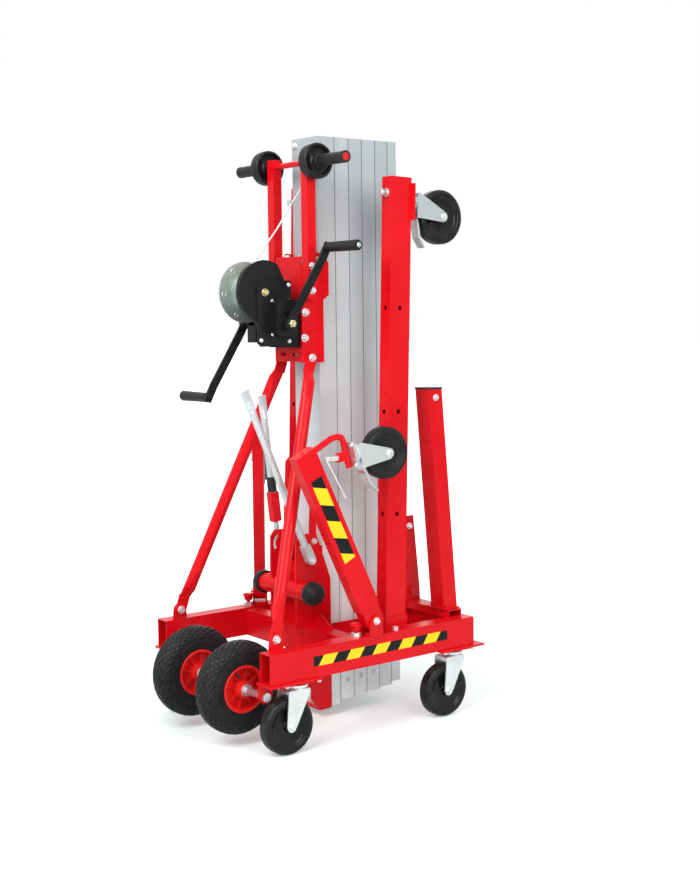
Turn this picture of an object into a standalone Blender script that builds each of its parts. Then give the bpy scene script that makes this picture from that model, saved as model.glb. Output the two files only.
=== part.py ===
"""Material lift in its folded state: base on casters, telescopic mast, winch, forks, legs, outriggers.

Metres, +Z up. X runs across the lift, +Y is the load side, Z = 0 is the floor.
The parts are laid out with X counted from the mast and Y from the rear ends of
the side beams. At the end they are moved by CENTRE_X and CENTRE_Y, so that the
origin lies under the middle of the whole.
"""

import math

import bmesh
import bpy
from mathutils import Matrix, Vector

GAP = 0.0003
EMBED = 0.001
CENTRE_X = -0.1299
CENTRE_Y = 0.3325

BEAM_LENGTH = 0.746
BEAM_OUTER_X = 0.3015
BEAM_WIDTH = 0.050
BEAM_TOP = 0.290
BEAM_HEIGHT = 0.086
BEAM_WALL = 0.003
BEAM_BOTTOM = BEAM_TOP - BEAM_HEIGHT
BEAM_INNER_X = BEAM_OUTER_X - BEAM_WIDTH
BEAM_MID_X = BEAM_OUTER_X - BEAM_WIDTH / 2

PLATE_THICKNESS = 0.005
PLATE_HALF_WIDTH = 0.036
REAR_PLATE_Y = (-0.005, 0.167)
FRONT_PLATE_Y = (0.610, 0.780)
TOP_PLATE_THICKNESS = 0.0035
TOP_PLATE_HALF = (0.032, 0.048)
CASTER_TOP = BEAM_BOTTOM - PLATE_THICKNESS - TOP_PLATE_THICKNESS
CASTER_RADIUS = 0.080
CASTER_WIDTH = 0.040
CASTER_TRAIL = 0.037
REAR_CASTER_Y = 0.105
FRONT_CASTER_Y = 0.680
CASTER_X = BEAM_MID_X

AXLE_Y = 0.015
AXLE_Z = 0.164
AXLE_RADIUS = 0.010
AXLE_HALF = 0.262
PNEUMATIC_RADIUS = 0.130
PNEUMATIC_HALF = 0.037
PNEUMATIC_X = 0.118

LEG_X = 0.226
LEG_HALF_X = 0.022
LEG_HALF_Y = 0.037
LEG_WALL = 0.003
LEG_FOOT = (0.4815, 0.222)
LEG_LEAN = math.radians(1.67)
LEG_LENGTH = 1.376
SOCKET_TOP = 0.320

PIVOT_X = 0.285
PIVOT_Y = 0.365
PIVOT_Z = 0.333
ARM_HALF_X = 0.0175
ARM_HALF_DEPTH = 0.035
ARM_LENGTH = 0.545
ARM_LEAN_NEAR = math.radians(25.6)
ARM_LEAN_FAR = math.radians(-3.7)
SWING_FAR = math.radians(54)
ARM_TOP = (-ARM_LENGTH * math.sin(ARM_LEAN_NEAR), ARM_LENGTH * math.cos(ARM_LEAN_NEAR))

FORK_X = 0.225
FORK_HALF_X = 0.030
FORK_HALF_Y = 0.026
FORK_WALL = 0.003
FORK_LENGTH = 0.664
FORK_LEAN = math.radians(4.9)
FORK_PIVOT = (0.7245, 0.312)
FORK_MIDDLE_Y = 0.6945
FORK_BASE = 0.0025
FORK_PLATE = 0.004
KNUCKLE_HALF = 0.020

MAST_HALF = 0.062
MAST_WALL = 0.004
SLOT_HALF = 0.0155
TONGUE_HALF = 0.030
TONGUE_THICKNESS = 0.007
MAST_TOP = 1.722

CRADLE_BOTTOM = 0.027
CRADLE_TOP = 0.778
CRADLE_WALL = 0.005
SCREW_ROOM = 0.0035

BRACKET_HALF = 0.0693
BRACKET_WALL = 0.007
RAIL_SIZE = 0.030
RAIL_X = BRACKET_HALF + GAP + RAIL_SIZE / 2
RAIL_Y = 0.307
LOAD_WHEEL_Z = 1.641
LOAD_WHEEL_RADIUS = 0.051
LOAD_WHEEL_X = 0.1215
LOAD_WHEEL_HALF = 0.016

STRUT_FOOT = (0.2495, 0.051, 0.319)
STRUT_HEAD = (BRACKET_HALF + GAP + 0.003, 0.321, 1.080)
STRUT_RADIUS = 0.018
STRUT_TAB = 0.003

BUMPER_Y = 0.274
BUMPER_Z = 0.396
BUMPER_RADIUS = 0.028
BUMPER_HALF = 0.128
BUMPER_CAP_RADIUS = 0.034

BRACE_X = 0.080
BRACE_Y = 0.300
BRACE_Z = 0.486
BRACE_RADIUS = 0.011
BRACE_HALF = 0.012

DRUM_Y = 0.172
DRUM_Z = 1.272
DRUM_CORE = 0.050
DRUM_FLANGE = 0.089
DRUM_INNER_X = -0.050
CRANK_Y = 0.214
CRANK_Z = 1.181
CRANK_RADIUS = 0.2445
CRANK_ANGLE = math.radians(62.2)
CRANK_SHAFT_RADIUS = 0.0085
ARM_INNER_X = 0.118
ARM_OUTER_X = 0.144
CRANK_GRIP_RADIUS = 0.0135

RED = (0.62, 0.012, 0.012, 1.0)
BLACK = (0.012, 0.012, 0.013, 1.0)
ALUMINIUM = (0.60, 0.61, 0.62, 1.0)
ZINC = (0.62, 0.63, 0.62, 1.0)

for existing in list(bpy.data.objects):
    bpy.data.objects.remove(existing, do_unlink=True)

parts = bpy.data.collections.new("material_lift")
helpers = bpy.data.collections.new("helpers")
bpy.context.scene.collection.children.link(parts)
bpy.context.scene.collection.children.link(helpers)
helpers.hide_render = True


def principled(name, colour, metallic, roughness):
    material = bpy.data.materials.new(name)
    material.use_nodes = True
    shader = material.node_tree.nodes["Principled BSDF"]
    shader.inputs["Base Color"].default_value = colour
    shader.inputs["Metallic"].default_value = metallic
    shader.inputs["Roughness"].default_value = roughness
    return material


def red_paint(name):
    return principled(name, RED, 0.0, 0.35)


def black_rubber(name):
    return principled(name, BLACK, 0.0, 0.7)


def bare_aluminium(name):
    return principled(name, ALUMINIUM, 1.0, 0.4)


def zinc_steel(name):
    return principled(name, ZINC, 1.0, 0.35)


def black_paint(name):
    return principled(name, BLACK, 0.0, 0.4)


def mesh_object(mesh_builder):
    mesh = bpy.data.meshes.new("shape")
    bmesh.ops.recalc_face_normals(mesh_builder, faces=mesh_builder.faces)
    mesh_builder.to_mesh(mesh)
    mesh_builder.free()
    return bpy.data.objects.new("shape", mesh)


def moved(obj, matrix):
    obj.data.transform(matrix)
    return obj


def box(x0, x1, y0, y1, z0, z1):
    shape = bmesh.new()
    bmesh.ops.create_cube(shape, size=1.0)
    scale = Matrix.Diagonal((x1 - x0, y1 - y0, z1 - z0, 1.0))
    middle = Matrix.Translation(((x0 + x1) / 2, (y0 + y1) / 2, (z0 + z1) / 2))
    bmesh.ops.transform(shape, matrix=middle @ scale, verts=shape.verts)
    return mesh_object(shape)


def spread(point, axis, along):
    """A point of a flat outline placed at a height along an axis."""
    first, second = point
    if axis == "X":
        return Vector((along, first, second))
    if axis == "Y":
        return Vector((first, along, second))
    return Vector((first, second, along))


def prism(outline, axis, start, end):
    """An outline in the plane across an axis, extruded along it."""
    shape = bmesh.new()
    face = shape.faces.new([shape.verts.new(spread(point, axis, start)) for point in outline])
    grown = bmesh.ops.extrude_face_region(shape, geom=[face])
    tops = [item for item in grown["geom"] if isinstance(item, bmesh.types.BMVert)]
    bmesh.ops.translate(shape, verts=tops, vec=spread((0.0, 0.0), axis, end - start))
    return mesh_object(shape)


def hollow(outer, inner, axis, start, end):
    """A tube whose two outlines have the same number of corners."""
    shape = bmesh.new()
    rings = []
    for outline, along in ((outer, start), (outer, end), (inner, end), (inner, start)):
        rings.append([shape.verts.new(spread(point, axis, along)) for point in outline])
    count = len(outer)
    for index, ring in enumerate(rings):
        following = rings[(index + 1) % len(rings)]
        for corner in range(count):
            after = (corner + 1) % count
            shape.faces.new((ring[corner], ring[after], following[after], following[corner]))
    return mesh_object(shape)


def rectangle(a0, a1, b0, b1):
    return [(a0, b0), (a1, b0), (a1, b1), (a0, b1)]


def square_tube(a0, a1, b0, b1, wall, axis, start, end):
    outer = rectangle(a0, a1, b0, b1)
    inner = rectangle(a0 + wall, a1 - wall, b0 + wall, b1 - wall)
    return hollow(outer, inner, axis, start, end)


def rod(first, second, radius, segments=16):
    """A round bar between two points."""
    start = Vector(first)
    end = Vector(second)
    way = end - start
    shape = bmesh.new()
    bmesh.ops.create_cone(
        shape,
        cap_ends=True,
        segments=segments,
        radius1=radius,
        radius2=radius,
        depth=way.length,
    )
    turn = way.to_track_quat("Z", "Y").to_matrix().to_4x4()
    bmesh.ops.transform(
        shape, matrix=Matrix.Translation((start + end) / 2) @ turn, verts=shape.verts
    )
    for face in shape.faces:
        face.smooth = len(face.verts) == 4
    return mesh_object(shape)


def hexagon(first, second, radius):
    head = rod(first, second, radius, 6)
    for face in head.data.polygons:
        face.use_smooth = False
    return head


def loft(stations, segments):
    """Oval sections joined in a row: each has a centre, a way, a half depth in X and a half width."""
    shape = bmesh.new()
    rings = []
    for centre, way, depth, width in stations:
        across = Vector((1.0, 0.0, 0.0))
        across = (across - way * across.dot(way)).normalized()
        beside = way.cross(across)
        ring = []
        for index in range(segments):
            angle = 2 * math.pi * (index + 0.5) / segments
            at = centre + across * depth * math.cos(angle) + beside * width * math.sin(angle)
            ring.append(shape.verts.new(at))
        rings.append(ring)
    for first, second in zip(rings, rings[1:]):
        for index in range(segments):
            after = (index + 1) % segments
            shape.faces.new((first[index], first[after], second[after], second[index]))
    shape.faces.new(rings[0])
    shape.faces.new(rings[-1])
    bmesh.ops.recalc_face_normals(shape, faces=shape.faces)
    for face in shape.faces:
        face.smooth = len(face.verts) == 4
    return mesh_object(shape)


def lathe(profile, segments):
    """A profile of (radius, height) from top to bottom, turned round Z."""
    mesh = bpy.data.meshes.new("profile")
    edges = [(index, index + 1) for index in range(len(profile) - 1)]
    if profile[0][0] > 0:
        edges.append((len(profile) - 1, 0))
    mesh.from_pydata([(radius, 0.0, height) for radius, height in profile], edges, [])
    obj = bpy.data.objects.new("profile", mesh)
    screw = obj.modifiers.new("turn", "SCREW")
    screw.axis = "Z"
    screw.angle = 2 * math.pi
    screw.steps = segments
    screw.render_steps = segments
    screw.use_merge_vertices = True
    screw.merge_threshold = 0.00001
    screw.use_smooth_shade = True
    return obj


def arc(centre, radius, start, end, steps):
    points = []
    for index in range(steps + 1):
        angle = math.radians(start + (end - start) * index / steps)
        points.append(
            (centre[0] + radius * math.cos(angle), centre[1] + radius * math.sin(angle))
        )
    return points


def mirror_mesh(obj):
    obj.data.transform(Matrix.Scale(-1, 4, (1, 0, 0)))
    obj.data.flip_normals()


def piece(name, body, steps, material, origin=(0.0, 0.0, 0.0), side=1):
    """Names a body, joins or cuts the helpers in order and sets its origin."""
    centre = Vector((side * origin[0], origin[1], origin[2]))
    body.name = name
    body.data.name = name
    parts.objects.link(body)
    body.data.materials.append(material)
    shapes = [body] + [shape for _, shape in steps]
    for shape in shapes:
        if side < 0:
            mirror_mesh(shape)
        shape.data.transform(Matrix.Translation(-centre))
    for index, (operation, shape) in enumerate(steps):
        shape.name = name + "_helper_" + str(index)
        helpers.objects.link(shape)
        shape.display_type = "WIRE"
        shape.hide_render = True
        shape.parent = body
        modifier = body.modifiers.new(operation.lower() + str(index), "BOOLEAN")
        modifier.operation = operation
        modifier.solver = "EXACT"
        modifier.object = shape
    body.location = centre
    return body


def join(shape):
    return ("UNION", shape)


def cut(shape):
    return ("DIFFERENCE", shape)


def bolt(x, y, z, axis, height, radius=0.008):
    """A hex head standing out along an axis, its foot sunk by EMBED."""
    sign = 1 if height > 0 else -1
    start = Vector((x, y, z))
    way = spread((0.0, 0.0), axis, 1.0)
    return join(hexagon(start - way * EMBED * sign, start + way * height, radius))


def side_name(side):
    return "right" if side > 0 else "left"


def socket_matrix():
    turn = Matrix.Rotation(-LEG_LEAN, 4, "X")
    return Matrix.Translation((LEG_X, LEG_FOOT[0], LEG_FOOT[1])) @ turn


def side_beam(side):
    beam = square_tube(
        BEAM_INNER_X, BEAM_OUTER_X, BEAM_BOTTOM, BEAM_TOP, BEAM_WALL, "Y", 0.0, BEAM_LENGTH
    )
    steps = []
    lean = math.tan(LEG_LEAN)
    socket_wall = 0.004
    reach_x = LEG_HALF_X + GAP + socket_wall
    reach_y = LEG_HALF_Y + GAP + socket_wall
    foot = BEAM_BOTTOM + 0.006
    drop = LEG_FOOT[1] - foot
    sleeve = box(
        LEG_X - reach_x, BEAM_INNER_X + EMBED, -reach_y, reach_y, -drop, SOCKET_TOP - LEG_FOOT[1]
    )
    place = Matrix.Translation((0.0, LEG_FOOT[0], LEG_FOOT[1]))
    shear = Matrix.Identity(4)
    shear[1][2] = lean
    moved(sleeve, place @ shear)
    steps.append(join(sleeve))
    hole_x = LEG_HALF_X + GAP
    hole_y = LEG_HALF_Y + 2 * GAP
    opening = box(
        LEG_X - hole_x, LEG_X + hole_x, -hole_y, hole_y, -0.0014, SOCKET_TOP - foot + 0.01
    )
    steps.append(cut(moved(opening, place @ shear)))
    drain = rod(
        (LEG_X, LEG_FOOT[0], foot - 0.01), (LEG_X, LEG_FOOT[0], LEG_FOOT[1] + 0.01), 0.010, 12
    )
    steps.append(cut(drain))
    for ends, caster_y in ((REAR_PLATE_Y, REAR_CASTER_Y), (FRONT_PLATE_Y, FRONT_CASTER_Y)):
        plate_bottom = BEAM_BOTTOM - PLATE_THICKNESS
        plate = box(
            CASTER_X - PLATE_HALF_WIDTH, CASTER_X + PLATE_HALF_WIDTH, ends[0], ends[1],
            plate_bottom, BEAM_BOTTOM + EMBED
        )
        steps.append(join(plate))
        zinc = box(
            CASTER_X - TOP_PLATE_HALF[0], CASTER_X + TOP_PLATE_HALF[0],
            caster_y - TOP_PLATE_HALF[1], caster_y + TOP_PLATE_HALF[1],
            CASTER_TOP, plate_bottom + EMBED
        )
        steps.append(join(zinc))
        for bolt_x in (CASTER_X - 0.0305, CASTER_X + 0.0305):
            for bolt_y in (caster_y - 0.054, caster_y + 0.054):
                steps.append(bolt(bolt_x, bolt_y, plate_bottom, "Z", -0.006, 0.0065))
    lug = prism(
        [(0.027, BEAM_TOP - EMBED), (0.075, BEAM_TOP - EMBED), (0.071, 0.325)]
        + arc((0.051, 0.319), 0.020, 15, 165, 6)
        + [(0.031, 0.325)],
        "X", STRUT_FOOT[0] + STRUT_TAB + GAP, STRUT_FOOT[0] + STRUT_TAB + GAP + 0.006
    )
    steps.append(join(lug))
    nut_x = STRUT_FOOT[0] + STRUT_TAB + GAP + 0.006
    steps.append(bolt(nut_x, STRUT_FOOT[1], STRUT_FOOT[2], "X", 0.009, 0.0095))
    steps.append(bolt(BEAM_OUTER_X - 0.012, 0.449, BEAM_TOP, "Z", 0.012, 0.009))
    hanger = prism(
        [(AXLE_Y - 0.022, BEAM_BOTTOM + EMBED), (AXLE_Y - 0.022, AXLE_Z)]
        + arc((AXLE_Y, AXLE_Z), 0.019, 190, 350, 8)
        + [(AXLE_Y + 0.022, AXLE_Z), (AXLE_Y + 0.022, BEAM_BOTTOM + EMBED)],
        "X", BEAM_INNER_X - 0.002, BEAM_INNER_X + 0.005
    )
    steps.append(join(hanger))
    hole = rod(
        (BEAM_INNER_X - 0.02, AXLE_Y, AXLE_Z), (BEAM_INNER_X + 0.02, AXLE_Y, AXLE_Z),
        AXLE_RADIUS + GAP, 20
    )
    steps.append(cut(hole))
    return piece(
        "side_beam_" + side_name(side), beam, steps, red_paint("beam_paint_" + side_name(side)),
        (BEAM_MID_X, 0.0, BEAM_BOTTOM), side
    )


def mast_base():
    tube_end = BEAM_INNER_X - GAP
    body = square_tube(0.285, 0.335, 0.206, 0.286, 0.003, "X", -tube_end, tube_end)
    steps = []
    front = square_tube(0.690, 0.740, 0.205, 0.285, 0.003, "X", -tube_end, tube_end)
    steps.append(join(front))
    inner = MAST_HALF + GAP
    outer = inner + CRADLE_WALL
    for side in (-1, 1):
        near, far = sorted((side * inner, side * outer))
        flange = prism(
            [(0.307, 0.060), (0.337, CRADLE_BOTTOM), (0.382, CRADLE_BOTTOM), (0.382, 0.420),
             (0.332, 0.560), (0.330, CRADLE_TOP), (0.318, CRADLE_TOP - 0.012), (0.307, 0.560)],
            "X", near, far
        )
        steps.append(join(flange))
        guide = sorted((side * (inner + SCREW_ROOM), side * (outer + SCREW_ROOM)))
        rail = box(*guide, 0.360, 0.692, 0.212, 0.282)
        steps.append(join(rail))
        spar_inner, spar_outer = sorted((side * (outer - EMBED), side * (LEG_X - 0.0275)))
        spar = square_tube(
            0.452, 0.502, 0.214, 0.264, 0.003, "X", spar_inner, spar_outer
        )
        steps.append(join(spar))
        post_inner = BRACE_X - BRACE_HALF - GAP - 0.007
        post_near, post_far = sorted((side * post_inner, side * (post_inner + 0.007)))
        post = prism(
            [(0.256, 0.284), (0.334, 0.284), (0.334, 0.545), (0.318, 0.562), (0.272, 0.562),
             (0.258, 0.545), (0.256, 0.470)],
            "X", post_near, post_far
        )
        steps.append(join(post))
        foot_near, foot_far = sorted((side * (post_inner - 0.002), side * 0.150))
        gusset = prism(
            [(foot_near, 0.284), (foot_far, 0.284), (foot_far, 0.292), (foot_near, 0.340)]
            if side > 0
            else [(foot_near, 0.284), (foot_far, 0.284), (foot_far, 0.340), (foot_near, 0.292)],
            "Y", 0.322, 0.328
        )
        steps.append(join(gusset))
        end = side * (post_inner + 0.007)
        steps.append(bolt(end, 0.323, 0.538, "X", side * 0.007, 0.0075))
    slot = prism(
        arc((0.300, 0.520), 0.034, 215, 120, 8) + arc((0.300, 0.520), 0.023, 120, 215, 8),
        "X", -0.2, 0.2
    )
    steps.append(cut(slot))
    web = box(-inner - EMBED, inner + EMBED, 0.350, 0.357 - GAP, 0.075, 0.520)
    steps.append(join(web))
    toe = box(-inner - EMBED, inner + EMBED, 0.339, 0.380, CRADLE_BOTTOM - 0.0045, 0.028 - GAP)
    steps.append(join(toe))
    panel = box(EMBED - outer, outer - EMBED, 0.3025, 0.308, 0.285, 0.470)
    steps.append(join(panel))
    saddle = rod((-0.2, BUMPER_Y, BUMPER_Z), (0.2, BUMPER_Y, BUMPER_Z), BUMPER_RADIUS + GAP, 32)
    steps.append(cut(saddle))
    return piece("mast_base", body, steps, red_paint("mast_base_paint"), (0.0, 0.310, 0.206))


def bumper_bar():
    profile = [(0.0, BUMPER_HALF + 0.026), (0.014, BUMPER_HALF + 0.025),
               (0.026, BUMPER_HALF + 0.019), (BUMPER_CAP_RADIUS, BUMPER_HALF + 0.007),
               (BUMPER_CAP_RADIUS, BUMPER_HALF - 0.010), (BUMPER_RADIUS, BUMPER_HALF - 0.012)]
    mirrored = [(radius, -height) for radius, height in reversed(profile)]
    bar = lathe(profile + mirrored, 24)
    return placed(bar, "bumper_bar", red_paint("bumper_paint"),
                  Matrix.Translation((0.0, BUMPER_Y, BUMPER_Z)) @ Matrix.Rotation(math.pi / 2, 4, "Y"))


def placed(body, name, material, matrix, steps=()):
    """A piece built about its own origin, then put where it belongs."""
    built = piece(name, body, list(steps), material)
    built.matrix_world = matrix
    return built


def strut(side):
    foot = Vector(STRUT_FOOT)
    head = Vector(STRUT_HEAD)
    way = (head - foot).normalized()
    lean = math.atan2(head.y - foot.y, head.z - foot.z)
    tab_way = Vector((0.0, math.sin(lean), math.cos(lean)))
    tab_width = STRUT_RADIUS * 0.96
    crush = (STRUT_RADIUS * 0.45, STRUT_RADIUS * 1.2)
    stations = [(foot + tab_way * 0.040, tab_way, STRUT_TAB * 0.9, tab_width),
                (foot + way * 0.070, way, *crush),
                (foot + way * 0.125, way, STRUT_RADIUS, STRUT_RADIUS),
                (head - way * 0.125, way, STRUT_RADIUS, STRUT_RADIUS),
                (head - way * 0.070, way, *crush),
                (head - tab_way * 0.040, tab_way, STRUT_TAB * 0.9, tab_width)]
    body = loft(stations, 18)
    steps = []
    for end, sign in ((foot, 1), (head, -1)):
        tab = prism(
            [(-0.018, 0.046 * sign)]
            + arc((0.0, 0.0), 0.018, 180, 180 + 180 * sign, 8)
            + [(0.018, 0.046 * sign)],
            "X", end.x - STRUT_TAB, end.x + STRUT_TAB
        )
        place = Matrix.Translation((0.0, end.y, end.z)) @ Matrix.Rotation(-lean, 4, "X")
        steps.append(join(moved(tab, place)))
    steps.append(bolt(foot.x - STRUT_TAB, foot.y, foot.z, "X", -0.008, 0.0095))
    steps.append(bolt(head.x + STRUT_TAB, head.y, head.z, "X", 0.008, 0.0095))
    return piece("strut_" + side_name(side), body, steps,
                 red_paint("strut_paint_" + side_name(side)), STRUT_FOOT, side)


def winch_bracket():
    half = BRACKET_HALF
    inner = half - BRACKET_WALL
    body = box(-inner - EMBED, inner + EMBED, 0.291, 0.298, 1.068, 1.245)
    steps = []
    for side in (-1, 1):
        near, far = sorted((side * inner, side * half))
        cheek = prism(
            [(0.290, 1.066), (0.368, 1.066), (0.368, 1.248), (0.388, 1.262), (0.388, 1.358),
             (0.361, 1.384), (0.332, 1.387), (0.290, 1.330)],
            "X", near, far
        )
        steps.append(join(cheek))
        steps.append(bolt(side * half, 0.299, 1.138, "X", side * 0.009, 0.0095))
        steps.append(bolt(side * half, 0.302, 1.212, "X", side * 0.009, 0.0095))
        steps.append(bolt(side * half, 0.348, 1.362, "X", side * 0.008, 0.0085))
    for x in (-0.030, 0.030):
        slot = prism(rectangle(x - 0.014, x + 0.014, 1.084, 1.094), "Y", 0.28, 0.31)
        steps.append(cut(slot))
    shelf = box(-inner - EMBED, inner + EMBED, 0.335, 0.357 - GAP, 1.100, 1.108)
    steps.append(join(shelf))
    brow = box(-inner - EMBED, inner + EMBED, 0.335, 0.357 - GAP, 1.290, 1.298)
    steps.append(join(brow))
    return piece("winch_bracket", body, steps, red_paint("bracket_paint"), (0.0, 0.29, 1.066))


def handle_frame():
    half = RAIL_SIZE / 2
    rail_top = LOAD_WHEEL_Z + 0.020
    body = box(RAIL_X - half, RAIL_X + half, RAIL_Y - half, RAIL_Y + half, 1.250, rail_top)
    steps = [join(box(-RAIL_X - half, -RAIL_X + half, RAIL_Y - half, RAIL_Y + half, 1.250, rail_top))]
    bar_half = 0.2635
    steps.append(join(rod((-bar_half, RAIL_Y, LOAD_WHEEL_Z), (bar_half, RAIL_Y, LOAD_WHEEL_Z), 0.0085, 16)))
    for side in (-1, 1):
        steps.append(join(rod((side * bar_half, RAIL_Y, LOAD_WHEEL_Z),
                              (side * (bar_half - 0.008), RAIL_Y, LOAD_WHEEL_Z), 0.0165, 20)))
        for z in (1.275, 1.345):
            steps.append(bolt(side * (RAIL_X + half), RAIL_Y, z, "X", side * 0.008, 0.0085))
    return piece("handle_frame", body, steps, red_paint("handle_paint"),
                 (0.0, RAIL_Y, LOAD_WHEEL_Z))


def handle_grip(side):
    start = LOAD_WHEEL_X + LOAD_WHEEL_HALF + 0.003
    end = 0.2635 - 0.008 - GAP
    bore = 0.0085 + GAP
    length = end - start
    profile = [(bore, length), (0.0165, length), (0.017, length - 0.002), (0.017, 0.006),
               (0.021, 0.005), (0.021, 0.0), (bore, 0.0)]
    turn = Matrix.Rotation(side * math.pi / 2, 4, "Y")
    place = Matrix.Translation((side * start, RAIL_Y, LOAD_WHEEL_Z)) @ turn
    return placed(lathe(profile, 16), "handle_grip_" + side_name(side),
                  black_rubber("grip_rubber_" + side_name(side)), place)


def loading_wheel(side):
    half = LOAD_WHEEL_HALF
    bore = 0.0085 + GAP
    rim = LOAD_WHEEL_RADIUS
    profile = [(bore, half + 0.002), (0.016, half + 0.002), (0.017, half - 0.008),
               (0.037, half - 0.008), (0.039, half), (rim - 0.003, half), (rim, half - 0.003),
               (rim, -half + 0.003), (rim - 0.003, -half), (bore, -half)]
    turn = Matrix.Rotation(math.pi / 2, 4, "Y")
    place = Matrix.Translation((side * LOAD_WHEEL_X, RAIL_Y, LOAD_WHEEL_Z)) @ turn
    return placed(lathe(profile, 22), "loading_wheel_" + side_name(side),
                  black_rubber("loading_wheel_rubber_" + side_name(side)), place)


SECTIONS = (
    ("mast_section_1", 0.357, 0.420, 0.028),
    ("mast_section_2", 0.421, 0.472, 0.041),
    ("mast_section_3", 0.473, 0.522, 0.045),
    ("mast_section_4", 0.523, 0.572, 0.048),
    ("mast_section_5", 0.573, 0.620, 0.053),
)


def section_outline(rear, front, tongue, slotted):
    """The cross-section of one mast profile, as seen from above."""
    half = MAST_HALF
    wall = MAST_WALL
    right = []
    if tongue:
        neck = 0.001 + wall + GAP
        right += [(TONGUE_HALF, rear - neck - TONGUE_THICKNESS), (TONGUE_HALF, rear - neck),
                  (SLOT_HALF - GAP, rear - neck), (SLOT_HALF - GAP, rear)]
    right += [(half, rear), (half, front)]
    if slotted:
        right += [(SLOT_HALF, front), (SLOT_HALF, front - wall), (half - wall, front - wall),
                  (half - wall, rear + wall)]
    left = [(-x, y) for x, y in reversed(right)]
    return right + left


def mast_section(name, rear, front, bottom, tongue):
    body = prism(section_outline(rear, front, tongue, True), "Z", bottom, MAST_TOP)
    steps = []
    middle = (rear + front) / 2
    for side in (-1, 1):
        for offset in (-0.012, 0.012) if tongue else (0.0, 0.020):
            start = (side * (MAST_HALF - EMBED), middle + offset, bottom + 0.030)
            end = (side * (MAST_HALF + 0.003), middle + offset, bottom + 0.030)
            steps.append(join(rod(start, end, 0.005, 8)))
    if not tongue:
        steps.append(cut(box(-0.009, 0.009, rear - 0.01, rear + 0.01, MAST_TOP - 0.162, MAST_TOP - 0.072)))
    return piece(name, body, steps, bare_aluminium(name + "_metal"), (0.0, rear, bottom))


def carriage_rail():
    rear, front = 0.621, 0.654
    body = prism(section_outline(rear, front, True, False), "Z", 0.062, MAST_TOP)
    return piece("carriage_rail", body, [], bare_aluminium("carriage_rail_metal"),
                 (0.0, rear, 0.062))


def carriage_frame():
    tube = square_tube(0.668, 0.720, 0.290, 0.314, 0.003, "X", -0.275, 0.275)
    steps = []
    for side in (-1, 1):
        near, far = sorted((side * 0.074, side * 0.081))
        cheek = prism(
            [(0.668, 0.286), (0.723, 0.308), (0.720, 0.360), (0.697, 0.580), (0.664, 0.580),
             (0.656, 0.330)],
            "X", near, far
        )
        steps.append(join(cheek))
        face = side * 0.081
        steps.append(bolt(face, 0.680, 0.548, "X", side * 0.008, 0.008))
        steps.append(join(rod((face - side * EMBED, 0.669, 0.428), (face + side * 0.012, 0.669, 0.428),
                              0.006, 12)))
        steps.append(join(rod((face - side * EMBED, 0.690, 0.345), (face + side * 0.010, 0.690, 0.345),
                              0.014, 16)))
        for offset in (-KNUCKLE_HALF - GAP - 0.012, KNUCKLE_HALF + GAP):
            start = side * FORK_X + offset
            knuckle = rod((start, *FORK_PIVOT), (start + 0.012, *FORK_PIVOT), 0.0055, 12)
            steps.append(join(knuckle))
    back = box(-0.0745, 0.0745, 0.6543, 0.662, 0.320, 0.560)
    steps.append(join(back))
    return piece("carriage_frame", tube, steps, red_paint("carriage_paint"), (0.0, 0.694, 0.290))


def lean_matrix(x, y, z, lean):
    """Puts a piece whose own Z runs up its length; a positive lean goes rearward."""
    return Matrix.Translation((x, y, z)) @ Matrix.Rotation(lean, 4, "X")


def fork(side):
    half = FORK_HALF_Y
    middle = FORK_MIDDLE_Y - FORK_PIVOT[0]
    foot = FORK_BASE + FORK_PLATE - EMBED
    top = foot + FORK_LENGTH
    lean = Matrix.Translation((0.0, middle, foot))
    lean[1][2] = -math.tan(FORK_LEAN)
    height = top - foot
    body = moved(
        square_tube(-FORK_HALF_X, FORK_HALF_X, -half, half, FORK_WALL, "Z", 0.0, height), lean
    )
    plate = box(-0.040, 0.040, middle - 0.035, -0.0065, FORK_BASE, FORK_BASE + FORK_PLATE)
    nose = box(-KNUCKLE_HALF, KNUCKLE_HALF, -0.012, 0.003, FORK_BASE + 0.0002,
               FORK_BASE + FORK_PLATE - 0.0002)
    barrel = rod((-KNUCKLE_HALF, 0.0, 0.0), (KNUCKLE_HALF, 0.0, 0.0), 0.004, 12)
    cap = box(-FORK_HALF_X - 0.001, FORK_HALF_X + 0.001, -half - 0.001, half + 0.001,
              height - EMBED, height + 0.004)
    core = box(-0.010, 0.010, -0.010, 0.010, height - 0.02, height + 0.002)
    steps = [join(plate), join(nose), join(barrel), join(moved(cap, lean)), join(moved(core, lean))]
    head = hexagon((side * (FORK_HALF_X - EMBED), 0.0, height - 0.025),
                   (side * (FORK_HALF_X + 0.006), 0.0, height - 0.025), 0.008)
    steps.append(join(moved(head, lean)))
    drain = rod((0.0, middle, FORK_BASE - 0.01), (0.0, middle, foot + 0.01), 0.006, 10)
    steps.append(cut(drain))
    for x in (-0.035, 0.035):
        foot_bolt = hexagon((x, middle - 0.020, foot), (x, middle - 0.020, foot + 0.005), 0.0045)
        steps.append(join(foot_bolt))
    place = Matrix.Translation((side * FORK_X, *FORK_PIVOT))
    return placed(body, "fork_" + side_name(side), red_paint("fork_paint_" + side_name(side)),
                  place, steps)


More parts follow.
